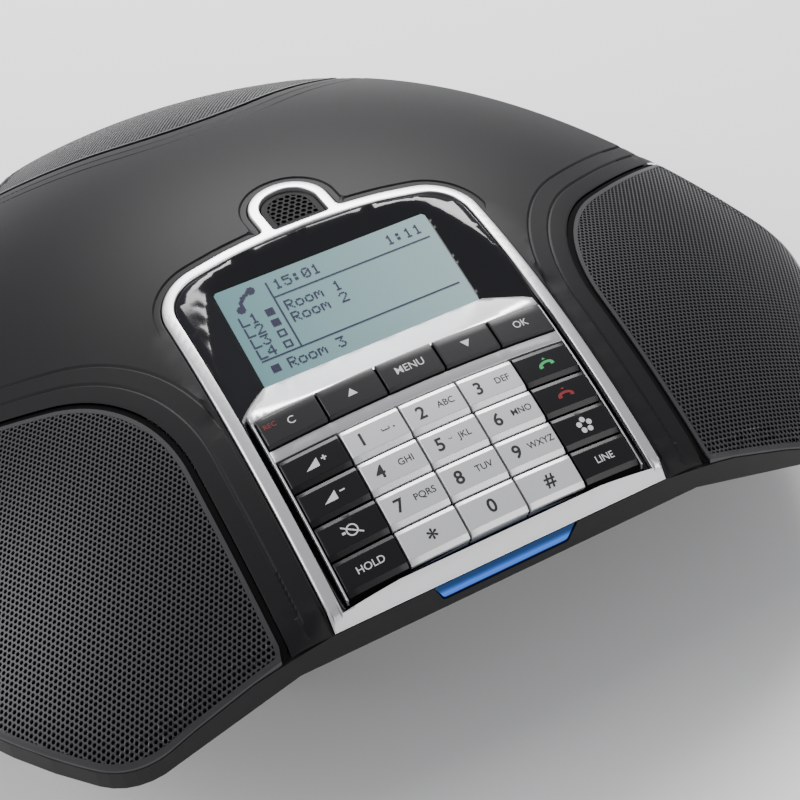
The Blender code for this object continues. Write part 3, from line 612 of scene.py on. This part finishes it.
frameEdge = [(0.5, 0), (0.25, 0.05), (0.08, 0.18), (0, 0.4), (0, 1.5)]
frameHole = [(0.4, 0), (0.15, 0.05), (0, 0.25), (0, 1.8)]
inner = consoleOutline(console["band"], body["valleyReach"] - console["strip"])
outerFrame = spaced(frameOutline(0, body["valleyReach"]), 2.5)
creaseLine = [Vector((x, -body["valleyReach"] + 0.9)) for x in np.arange(-37, 37.1, 2.0)]
sideLines = [[Vector((s * (console["half"] - d), y)) for y in np.arange(-86.8, -12, 2.6)]
             for s in (-1, 1) for d in (0.9, 1.8)]
lay("silver_frame", silver, [(outerFrame, frameEdge, False), (spaced(inner, 2.5), frameHole, True),
                             (micOutline(mic["band"]), frameHole, True)],
    frameHeight, 3.0, [creaseLine] + sideLines, stands=["panel_frame"], slot="satin_frame", sharp=35,
    floor=body["seam"] + 0.05)
print("frame laid")


# ---- perforated sheets ----

def perforate(name, finish, outline, height, pitch, hole, sheet, inset, backing, stands, slot):
    ring = np.array([tuple(p) for p in offset(outline, inset + pitch * 0.55)])
    low, high = ring.min(axis=0), ring.max(axis=0)
    centres = [(x + (k % 2) * pitch / 2, y) for k, y in enumerate(np.arange(low[1], high[1], pitch * 0.866))
               for x in np.arange(low[0], high[0], pitch)]
    centres = np.array(centres)
    centres = centres[inside(centres, ring)]
    angles = np.radians(np.arange(6) * 60 + 30)
    out = np.stack([np.cos(angles), np.sin(angles)], axis=1) * pitch / 2 / math.cos(math.radians(30))
    within = np.stack([np.cos(angles), np.sin(angles)], axis=1) * hole / math.cos(math.radians(30))
    outer = (centres[:, None] + out[None]).reshape(-1, 2)
    holes = (centres[:, None] + within[None]).reshape(-1, 2)
    zOuter, zHole = height(outer), height(holes)
    count = len(centres) * 6
    places = np.concatenate([np.column_stack([outer, zOuter]), np.column_stack([holes, zHole]),
                             np.column_stack([holes, zHole - sheet])])
    places = places / 1000 + np.array([0, axisY, 0])
    first = np.arange(count)
    after = np.where(first % 6 == 5, first - 5, first + 1)
    faces = np.concatenate([np.column_stack([first, after, after + count, first + count]),
                            np.column_stack([first + count, after + count, after + 2 * count,
                                             first + 2 * count])])
    data = bpy.data.meshes.new(name)
    data.from_pydata(places.tolist(), [], faces.tolist())
    data.materials.append(finish)
    made = bpy.data.objects.new(name, data)
    bpy.context.scene.collection.objects.link(made)
    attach(made, "housing")
    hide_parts(*stands)
    border = [(0.05, 0), (0, 0.1), (0, 1.0)]
    rimLoop = [Vector(tuple(p)) for p in offset(outline, inset + pitch * 0.9)]
    lay(name + "_edge", finish, [(offset(outline, inset), border, False),
                                 (rimLoop, [(0, 0), (0, 0.2)], True)],
               lambda p: height(p) + 0.03, 0, slot=slot)
    behind = offset(outline, backing)      # reaches under the casing's edge, but not past the rim
    away, near, normal = rimNear(np.array([tuple(p) for p in behind]))
    behind = [p if a > 0.5 else Vector(tuple(n + m * 0.5)) for p, a, n, m in zip(behind, away, near, normal)]
    lay(name + "_cloth", cloth, [(behind, [(0, 0), (0, 0.3)], False)],
               lambda p: height(p) - sheet - 0.25, 3.5, slot=slot)


def grilleOutline(angle):
    line = grilleLine(-grille["margin"], angle)
    local = [p for p in rimDense if (turn(p, -angle).x > 40)]
    arcPart = sorted((turn(p, -angle) for p in local), key=lambda p: math.atan2(p.y, p.x - 60))
    arcPart = [p for p in arcPart
               if grilleDistance(np.array([tuple(turn(p, angle))]))[0] < -grille["margin"]]
    edge = [turn(p, -angle) for p in line]
    edge = [p for p in edge if rimNear(np.array([tuple(turn(p, angle))]))[0][0] > 0.8 and p.length < 118
            and inside(np.array([tuple(turn(p, angle))]), rimDense)[0]]
    if edge[0].y > 0:
        edge.reverse()
    loop = arcPart + list(reversed(edge))
    return [turn(p, angle) for p in loop]


def grilleHeight(places):
    return skinHeight(places) - grille["sunk"]


for side, angle in lobeAngles.items():
    perforate("grille_" + side, grilleSteel, spaced(grilleOutline(angle), 1.5), grilleHeight,
              grille["pitch"],
              grille["hole"], grille["sheet"], 0.25, -1.1, ["speaker_grille_" + side], "dark_grille")
perforate("mic_mesh", blackMesh, spaced(micOutline(mic["band"] + 0.3), 1.0),
          overDome(-0.85),
          mic["pitch"], mic["hole"], 0.5, 0.05, 0.1, ["mic_grille"], "dark_grille")
print("grilles punched")


# ---- console: surround, display, crest and rails ----
pad = {"tilt": math.radians(22), "reach": 72.3, "height": 60.0, "pitchX": 13.16, "pitchY": 7.77,
       "gap": 0.5,
       "proud": 0.33, "softProud": 0.86, "softStart": 18.5, "softEnd": 25.6}
glass = {"tilt": math.radians(19.8), "reach": 24.4, "height": 67.85, "half": 25.4, "length": 25.1,
         "sideRun": 2.1, "topRun": 5.6, "rampSlope": 0.68, "rampLip": 0.45}
gridHalf = 2.5 * pad["pitchX"]
gridTop = 2 * pad["pitchY"]


def onPlane(plane, u, v, w):
    c, s = math.cos(plane["tilt"]), math.sin(plane["tilt"])
    return u, -plane["reach"] + v * c - w * s, plane["height"] + v * s + w * c


def crown(u, v, proud):      # how far the dome stands over the keypad's plane
    w = 0.0
    for turnCount in range(4):
        x, y, z = onPlane(pad, u, v, w)
        w += (body["domeHeight"] - (x * x + y * y) / body["domeCurve"] + proud - z) / math.cos(pad["tilt"])
    return w


def funnelHeight(places):
    places = np.asarray(places, float)
    c = math.cos(glass["tilt"])
    base = glass["height"] + (places[:, 1] + glass["reach"]) * math.tan(glass["tilt"])
    side = np.maximum(np.abs(places[:, 0]) - glass["half"], 0) / glass["sideRun"]
    top = np.maximum(places[:, 1] + glass["reach"] - glass["length"] / 2 * c, 0) / glass["topRun"]
    rise = np.hypot(side, top)
    return np.minimum(domeHeight(places) - 0.25, base + rise / c)


def lcdLoop(grow):
    c = math.cos(glass["tilt"])
    half, low, high = glass["half"] + grow, -glass["length"] / 2 * c - grow, glass["length"] / 2 * c + grow
    corners = [Vector((-half, low)), Vector((half, low)), Vector((half, high)), Vector((-half, high))]
    return [p + Vector((0, -glass["reach"])) for p in fillet(corners, [0.9] * 4)]


surroundEdge = [(0.2, 0), (0, 0.15), (0, 1.5)]
railLow = -body["valleyReach"] + console["strip"] + 0.3
frameGap = console["band"] + 0.25
bezelLoop = spaced(consoleOutline(frameGap, body["valleyReach"] - console["strip"] - 0.25), 2.5)
openHalf = gridHalf + 0.7
seeHalf = glass["half"]
halfOpening = [(openHalf, railLow + 0.9), (openHalf, -44.9), (seeHalf + 0.9, -36.4), (seeHalf, -36.0),
               (seeHalf, -13.0), (seeHalf - 0.6, -12.5)]
opening = [Vector((-openHalf, railLow + 0.9))] + [Vector(p) for p in halfOpening]
opening += [Vector((-x, y)) for x, y in reversed(halfOpening[1:])]
innerEdge = [(0.12, 0), (0, 0.1), (0, 1.4)]
foldLines = [[Vector((s * (glass["half"] + d), y)) for y in np.arange(-35, -12, 1.6)] for s in (-1, 1)
             for d in (0.5, 1.5, 3.0, 4.5, 6.0, 7.4)]
foldLines += [[Vector((x, -12.6 + d)) for x in np.arange(-25, 25.1, 2.0)] for d in (0.5, 1.5, 3.0)]
lay("display_surround", glossBlack, [(bezelLoop, surroundEdge, False),
                                    (spaced(opening, 2.0), innerEdge, True)],
    funnelHeight, 2.2, foldLines, stands=["display_bezel"], slot="gloss_surround", sharp=50)

lay("display_pane", displayFace, [(lcdLoop(0.9), [(0, 0), (0, 0.6)], False)],
    lambda p: glass["height"] + (np.asarray(p)[:,
                                               1] + glass["reach"]) * math.tan(glass["tilt"]) - 0.02, 4.0,
    stands=["display_window"], slot="clear_window")


def rampHeight(places):      # the silver slope that runs from the display's foot up to the soft keys
    places = np.asarray(places, float)
    c = math.cos(glass["tilt"])
    v = (places[:, 1] + glass["reach"]) / c + glass["length"] / 2
    base = glass["height"] + (places[:, 1] + glass["reach"]) * math.tan(glass["tilt"])
    slope = base + glass["rampLip"] + np.maximum(-v, 0) * glass["rampSlope"] * 1.02
    top = domeHeight(places) + 0.02
    blend = 0.5
    return -np.logaddexp(-slope / blend, -top / blend) * blend




def acrossPad(v, reach):      # where a line across the keypad lies in plan, on the dome
    return [Vector(onPlane(pad, u, v[0], crown(u, v[1], 0))[:2]) for u in np.linspace(-reach, reach, 15)]


rampWide = gridHalf + 0.32
rampNarrow = glass["half"] + 0.55
softBack = acrossPad((pad["softEnd"] + 0.25, pad["softEnd"]), rampWide)
rampLoop = [Vector((-rampNarrow, -36.35)), Vector((-rampWide, -44.95))] + softBack
rampLoop += [Vector((rampWide, -44.95)), Vector((rampNarrow, -36.35))]
lay("silver_crest", silver, [(spaced(rampLoop, 2.0), [(0.15, 0), (0, 0.1), (0, 2.0)], False)], rampHeight,
    1.6,
    stands=["keypad_plate"], slot="satin_frame", sharp=60)

stripBack = acrossPad((pad["softStart"] - 0.2, pad["softStart"]), -gridHalf)
stripFront = acrossPad((gridTop + 0.25, gridTop), gridHalf)
lay("silver_strip", silver, [(spaced(stripFront + stripBack, 2.0), [(0.15, 0), (0, 0.1), (0, 2.0)],
                              False)],
    overDome(0.02), 2.0, slot="satin_frame")
for side, s in (("left", -1), ("right", 1)):      # thin bright silver line beside the keys
    x0, x1 = s * (gridHalf + 0.08), s * (gridHalf + 0.42)
    thin = [Vector((min(x0, x1), railLow + 1.0)), Vector((max(x0, x1), railLow + 1.0)),
            Vector((max(x0, x1), -47.4)), Vector((min(x0, x1), -47.4))]
    lay("key_border_" + side, silver, [(spaced(thin, 2.0), [(0.05, 0), (0, 0.05), (0, 1.5)], False)],
        overDome(0.04), 0, slot="satin_frame")
print("console laid")


# ---- keys ----
keyShape = {"backBevel": 0.85, "backDrop": 0.34, "frontBevel": 1.15, "frontDrop": 0.62, "sideBevel": 0.22,
            "sideDrop": 0.14, "skirt": 3.2, "softFront": 0.55, "softDrop": 0.75}


def keyCap(name, column, low, high, proud, finish, soft=False):
    left = -gridHalf + column * pad["pitchX"] + pad["gap"] / 2
    right = left + pad["pitchX"] - pad["gap"]
    e = keyShape["sideBevel"]
    kind = ("softFront", "softDrop") if soft else ("frontBevel", "frontDrop")
    front, frontDrop = [keyShape[part] for part in kind]
    back, backDrop = (0.5, 0.16) if soft else (keyShape["backBevel"], keyShape["backDrop"])
    us = [left, left + e] + list(np.linspace(left + e, right - e, 8)[1:-1]) + [right - e, right]
    vs = [low, low + front] + list(np.linspace(low + front, high - back, 5)[1:-1]) + [high - back, high]
    drops = [-frontDrop] + [0] * 5 + [-backDrop]
    bm = bmesh.new()
    rows = []
    for v, drop in zip(vs, drops):
        row = []
        for k, u in enumerate(us):
            side = -keyShape["sideDrop"] if k in (0, len(us) - 1) else 0
            row.append(bm.verts.new(world(*onPlane(pad, u, v, crown(u, v, proud) + min(drop, side)))))
        rows.append(row)
    for a, b in zip(rows, rows[1:]):
        for k in range(len(us) - 1):
            bm.faces.new((a[k], a[k + 1], b[k + 1], b[k]))
    ring = rows[0] + [r[-1] for r in rows[1:]] + list(reversed(rows[-1][:-1]))
    ring += [r[0] for r in reversed(rows[1:-1])]
    down = Vector(onPlane(pad, 0, 0, -keyShape["skirt"])) - Vector(onPlane(pad, 0, 0, 0))
    foot = [bm.verts.new(v.co + down / 1000) for v in ring]
    for k in range(len(ring)):
        n = (k + 1) % len(ring)
        bm.faces.new((ring[n], ring[k], foot[k], foot[n]))
    bm.faces.new(list(reversed(foot)))
    bmesh.ops.recalc_face_normals(bm, faces=bm.faces)
    slot = "function_key" if soft else ("black_key" if column in (0, 4) else "silver_key")
    cap = place("cap_" + name, bm, finish, "key_" + name, ["key_" + name], slot, 18)
    edge = cap.modifiers.new("worn edge", "BEVEL")
    edge.width = 0.00008
    edge.segments = 2
    edge.limit_method = "ANGLE"
    edge.angle_limit = math.radians(22)
    return cap


def flatMarks(pieces):      # outlines in a key's own plane, filled
    verts, faces = [], []
    for loop in pieces:
        base = len(verts)
        loop = [Vector(p) for p in loop]
        found, _, tris, *_ = delaunay_2d_cdt(loop, [(i, (i + 1) % len(loop)) for i in range(len(loop))],
                                             [], 1, 1e-6)
        verts += [tuple(p) for p in found]
        faces += [[base + i for i in t] for t in tris]
    return verts, faces


def letters(text, size, weight):      # Blender's own typeface as a flat mesh, centred on its width
    curve = bpy.data.curves.new("letters", "FONT")
    curve.body = text
    curve.size = size
    curve.align_x = "CENTER"
    curve.align_y = "CENTER"
    curve.offset = weight
    curve.resolution_u = 4
    holder = bpy.data.objects.new("letters", curve)
    bpy.context.scene.collection.objects.link(holder)
    bpy.context.view_layer.update()
    data = bpy.data.meshes.new_from_object(holder)
    verts = [(v.co.x, v.co.y) for v in data.vertices]
    faces = [list(p.vertices) for p in data.polygons]
    bpy.data.objects.remove(holder)
    return verts, faces


def circle(x, y, radius, count=24):
    angles = np.linspace(0, 2 * math.pi, count, endpoint=False)
    return [(x + radius * math.cos(a), y + radius * math.sin(a)) for a in angles]


def band(points, width):      # a stroke of even width along a line
    left, right = [], []
    for i, p in enumerate(points):
        a = Vector(points[max(i - 1, 0)])
        b = Vector(points[min(i + 1, len(points) - 1)])
        side = (b - a).normalized().orthogonal() * width / 2
        left.append(tuple(Vector(p) + side))
        right.append(tuple(Vector(p) - side))
    return left + right[::-1]


def handset(x, y, size, flip):      # a receiver seen from its side, lifted or laid down
    s = size
    top = [(math.cos(a) * s * 1.25, math.sin(a) * s * 0.62) for a in np.linspace(math.pi, 0, 11)]
    low = [(math.cos(a) * s * 0.72, math.sin(a) * s * 0.26 - s * 0.02) for a in np.linspace(0, math.pi, 9)]
    cups = [(1.25, -0.28), (0.68, -0.28), (0.62, -0.02)]
    right = [(px * s, py * s) for px, py in cups]
    left = [(-px * s, py * s) for px, py in reversed(cups)]
    shape = top + right + low + left
    spin = Matrix.Rotation(flip, 2)
    return [tuple(Vector((x, y)) + spin @ Vector(p)) for p in shape]


def printMarks(name, key, column, low, high, proud, parts, finish):
    left = -gridHalf + column * pad["pitchX"]
    centreU = left + pad["pitchX"] / 2
    centreV = (low + high) / 2
    verts, faces = [], []
    for (points, tris), (du, dv) in parts:
        base = len(verts)
        verts += [(x + centreU + du, y + centreV + dv) for x, y in points]
        faces += [[base + i for i in t] for t in tris]
    bm = bmesh.new()
    made = [bm.verts.new(world(*onPlane(pad, u, v, crown(u, v, proud) + 0.03))) for u, v in verts]
    for f in faces:
        if len(set(f)) == len(f):
            bm.faces.new([made[i] for i in f])
    bmesh.ops.recalc_face_normals(bm, faces=bm.faces)
    for f in bm.faces:
        if f.normal.z < 0:
            f.normal_flip()
    return place(name, bm, finish, "key_" + key, (), None, 30)


keyRows = [["volume_up", "1", "2", "3", "answer"], ["volume_down", "4", "5", "6", "hang_up"],
           ["mute", "7", "8", "9", "conference"], ["hold", "star", "0", "hash", "line"]]
softKeys = ["clear", "up", "menu", "down", "ok"]
digitLook = {"digit": 3.9, "digitWeight": 0.075, "small": 2.0, "smallWeight": 0.012, "word": 2.15,
             "wordWeight": 0.012}
smallWords = {"2": "ABC", "3": "DEF", "4": "GHI", "5": "JKL", "6": "MNO", "7": "PQRS", "8": "TUV",
              "9": "WXYZ"}


def legendsFor(key):
    digit, small = digitLook["digit"], digitLook["small"]
    if key in smallWords or key in "01" or key in ("star", "hash"):
        sign = {"star": "*", "hash": "#"}.get(key, key)
        centred = key in ("star", "hash", "0")
        size = digit * (1.25 if key == "star" else 1)
        parts = [(letters(sign, size, digitLook["digitWeight"]), (0 if centred else -3.0, -0.9
                                                                  if key == "star" else 0))]
        if key in smallWords:
            parts.append((letters(smallWords[key], small, digitLook["smallWeight"]), (2.6, 0.2)))
        if key == "1":
            space = band([(-0.8, 0.25), (-0.8, -0.25), (0.8, -0.25), (0.8, 0.25)], 0.24)
            parts.append((flatMarks([space, circle(1.75, -0.25, 0.2, 10)]), (2.2, 0.2)))
        if key == "5":
            parts.append((flatMarks([band([(-0.4, 0.12), (-0.2, -0.08), (0.2, -0.08), (0.4, 0.12)],
                                          0.13)]), (-0.5, 0.5)))
        return parts, ink
    if key in ("hold", "line"):
        return [(letters(key.upper(), digitLook["word"], digitLook["wordWeight"]), (0, 0))], paleInk
    if key.startswith("volume"):
        wedge = [(-2.3, -0.95), (0.6, -0.95), (0.6, 1.0)]
        signs = [band([(1.4, 0.3), (2.5, 0.3)], 0.3)]
        if key == "volume_up":
            signs.append(band([(1.95, 0.85), (1.95, -0.25)], 0.3))
        return [(flatMarks([wedge] + signs), (0, 0))], paleInk
    if key == "mute":
        parts = [band([(1.1 * math.cos(a), 1.1 * math.sin(a)) for a in np.linspace(s, s + math.pi, 13)],
                      0.3)
                 for s in (0, math.pi)]
        parts += [band([(-1.9, 1.3), (1.9, -1.3)], 0.3), band([(-2.1, 0), (-1.4, 0)], 0.5)]
        return [(flatMarks(parts), (0, 0))], paleInk
    if key in ("answer", "hang_up"):
        flip = math.radians(8 if key == "answer" else 0)
        parts = [handset(0, 0, 1.5, flip)]
        if key == "answer":
            parts.append([(-0.45, 1.3), (0.45, 1.3), (0, 1.75)])
        else:
            parts.append([(-0.45, 1.75), (0.45, 1.75), (0, 1.3)])
        return [(flatMarks(parts), (0, -0.3))], greenInk if key == "answer" else redInk
    if key == "conference":
        parts = []
        for k in range(5):
            a = math.radians(90 + 72 * k)
            parts.append([(1.25 * math.cos(a) + 0.62 * math.cos(b),
                           1.25 * math.sin(a) + 0.62 * math.sin(b))
                          for b in np.linspace(0, 2 * math.pi, 12, endpoint=False)])
        return [(flatMarks(parts), (0, 0))], paleInk
    if key in ("up", "down"):
        s = 1 if key == "up" else -1
        return [(flatMarks([[(-1.05, -0.8 * s), (1.05, -0.8 * s), (0, 0.85 * s)][::s]]), (0, 0))], paleInk
    words = {"clear": "C", "menu": "MENU", "ok": "OK"}
    return [(letters(words[key], 2.4, 0.004), (0, 0))], paleInk


for row, names in enumerate(keyRows):
    high = gridTop - row * pad["pitchY"] - pad["gap"] / 2
    low = high - pad["pitchY"] + pad["gap"]
    for column, key in enumerate(names):
        keyCap(key, column, low, high, pad["proud"], blackKey if column in (0, 4) else silverKey)
        parts, finish = legendsFor(key)
        printMarks("legend_" + key, key, column, low + 0.3, high, pad["proud"], parts, finish)
for column, key in enumerate(softKeys):
    low, high = pad["softStart"] + 0.15, pad["softEnd"] - 0.15
    keyCap(key, column, low, high, pad["softProud"], greyKey, True)
    parts, finish = legendsFor(key)
    printMarks("legend_" + key, key, column, low + 0.3, high, pad["softProud"], parts, finish)
    if key == "clear":
        printMarks("legend_record", key, column, low, high, pad["softProud"],
                   [(letters("REC", 1.55, 0.01), (-4.2, 1.1))], redInk)
wells = {"half": gridHalf + 0.05, "drop": 1.5}
wellLoop = [Vector((-wells["half"], railLow + 0.8)), Vector((wells["half"], railLow + 0.8)),
            Vector((wells["half"], -47.2)), Vector((-wells["half"], -47.2))]
lay("key_well", cloth, [(spaced(wellLoop, 3.0), [(0, 0), (0, 0.5)], False)],
    overDome(-wells["drop"]), 5.0)
print("keys made")


# ---- display content: rows of small square dots ----
screen = {"columns": 128, "rows": 64, "marginX": 1.3, "marginY": 1.1, "dot": 0.97}
glyphs = {      # 5 x 7 dot letters, one number for each row, most significant bit at the left
    "0": (14, 17, 19, 21, 25, 17, 14), "1": (4, 12, 4, 4, 4, 4, 14), "2": (14, 17, 1, 2, 4, 8, 31),
    "3": (31, 2, 4, 2, 1, 17, 14), "4": (2, 6, 10, 18, 31, 2, 2), "5": (31, 16, 30, 1, 1, 17, 14),
    ":": (0, 12, 12, 0, 12, 12, 0), "L": (16, 16, 16, 16, 16, 16, 31), "R": (30, 17, 17, 30, 20, 18, 17),
    "o": (0, 0, 14, 17, 17, 17, 14), "m": (0, 0, 26, 21, 21, 17, 17), " ": (0, 0, 0, 0, 0, 0, 0)}


def screenDots():
    lit = set()

    def write(text, column, row):
        for k, letter in enumerate(text):
            for r, bits in enumerate(glyphs[letter]):
                lit.update((column + k * 6 + c, row + r) for c in range(5) if bits >> (4 - c) & 1)

    write("15:01", 30, 2)
    write("1:11", 102, 2)
    lit.update((c, 13) for c in range(27, 127))
    lit.update((26, r) for r in range(2, 50))
    lit.update((c, 50) for c in range(2, 127))
    write("Room 1", 30, 18)
    write("Room 2", 30, 27)
    write("Room 3", 15, 54)
    for k in range(4):
        write("L" + "1234"[k], 2, 18 + 8 * k)
        for r in range(5):
            for c in range(5):
                if k < 2 or r in (0, 4) or c in (0, 4):
                    lit.add((18 + c, 19 + 8 * k + r))
    lit.update((5 + c, 55 + r) for c in range(5) for r in range(5))
    for c in range(4, 20):      # a receiver, leaning
        for r in range(1, 16):
            arm = abs((c - 4) + (r - 1) - 14) < 3.5 and 2 < c - r + 4 + 4 < 12
            ends = (c - 16) ** 2 + (r - 3) ** 2 < 6.5 or (c - 6) ** 2 + (r - 13) ** 2 < 6.5
            bow = 62 < (c - 16) ** 2 + (r - 12.5) ** 2 < 106 and c < 16 and r < 13
            if ends or bow and arm or bow:
                lit.add((c, r))
    return lit


dotWide = (2 * glass["half"] - 2 * screen["marginX"]) / screen["columns"]
dotHigh = (glass["length"] - 2 * screen["marginY"]) / screen["rows"]
bm = bmesh.new()
for column, row in sorted(screenDots()):
    u = -glass["half"] + screen["marginX"] + (column + 0.5) * dotWide
    v = glass["length"] / 2 - screen["marginY"] - (row + 0.5) * dotHigh
    du, dv = dotWide * screen["dot"] / 2, dotHigh * screen["dot"] / 2
    bm.faces.new([bm.verts.new(world(*onPlane(glass, u + a * du, v + b * dv, 0.05)))
                  for a, b in ((-1, -1), (1, -1), (1, 1), (-1, 1))])
place("display_dots", bm, dotInk)
print("display written")


# ---- finishes for the solids that stay as they are ----
keep = {"lower_shell": blackBase, "lcd_module": displayGlass, "lcd_backlight": diffuser,
        "key_mat": rubber,
        "keypad_board": boardGreen, "main_board": boardGreen, "speaker_basket": steel,
        "speaker_cone": conePaper,
        "speaker_magnet": ferrite, "mic_boot": rubber, "microphone": steel, "line_socket": blackBase,
        "power_socket": blackBase, "microphone_socket_left": blackBase, "microphone_socket_right": blackBase,
        "light_guide_front": glow, "light_guide_left": glow, "light_guide_right": glow}
for corner in ("front_left", "front_right", "rear_left", "rear_right"):
    keep["case_screw_" + corner] = screwSteel
    keep["rubber_foot_" + corner] = rubber
for node, finish in keep.items():
    made = bpy.data.objects[node]
    made.data.materials.clear()
    made.data.materials.append(finish)


# ---- floor, light and camera ----
studio = {"floor": (0.88, 0.88, 0.88), "world": 0.36, "key": 26, "fill": 5, "rim": 9}
floorMesh = bpy.data.meshes.new("floor")
floorMesh.from_pydata([(-6, -6, 0), (6, -6, 0), (6, 6, 0), (-6, 6, 0)], [], [(0, 1, 2, 3)])
floorObject = bpy.data.objects.new("floor", floorMesh)
bpy.context.scene.collection.objects.link(floorObject)
floorLook = {"Base Color": studio["floor"], "Roughness": 0.7, "grain": 40, "cloud": 2, "spread": 0.01,
             "uneven": 0.05, "relief": 0.02}
floorMesh.materials.append(grained("pale floor", floorLook))
sky = bpy.data.worlds.new("studio")
bpy.context.scene.world = sky
sky.use_nodes = True
sky.node_tree.nodes["Background"].inputs[0].default_value = (0.95, 0.97, 1.0, 1)
sky.node_tree.nodes["Background"].inputs[1].default_value = studio["world"]


def softbox(name, power, size, at, aim):
    light = bpy.data.lights.new(name, "AREA")
    light.energy = power
    light.shape = "RECTANGLE"
    light.size, light.size_y = size
    made = bpy.data.objects.new(name, light)
    made.location = at
    made.rotation_euler = (Vector(aim) - Vector(at)).to_track_quat("-Z", "Y").to_euler()
    bpy.context.scene.collection.objects.link(made)


softbox("key light", studio["key"], (0.9, 0.5), (0.35, 0.75, 0.85), (0, 0, 0.05))
softbox("side light", studio["rim"], (0.5, 0.9), (-0.95, 0.25, 0.6), (0, 0, 0.05))
softbox("front light", studio["fill"], (0.9, 0.4), (0.5, -0.9, 0.45), (0, -0.05, 0.05))

camera = bpy.data.objects.new("camera", bpy.data.cameras.new("camera"))
camera.data.lens = 72
camera.data.sensor_width = 36
camera.data.clip_start = 0.01
side = Vector((0.8759, -0.4768, -0.0735))
up = Vector((0.3738, 0.5744, 0.7282))
ahead = Vector((0.305, 0.6654, -0.6814))
turned = Matrix((side, up, -ahead)).transposed().to_4x4()
camera.matrix_world = Matrix.Translation(world(-101.9, -268.1, 282.6)) @ turned
bpy.context.scene.collection.objects.link(camera)
bpy.context.scene.camera = camera

bpy.context.view_layer.update()
print("scene ready")
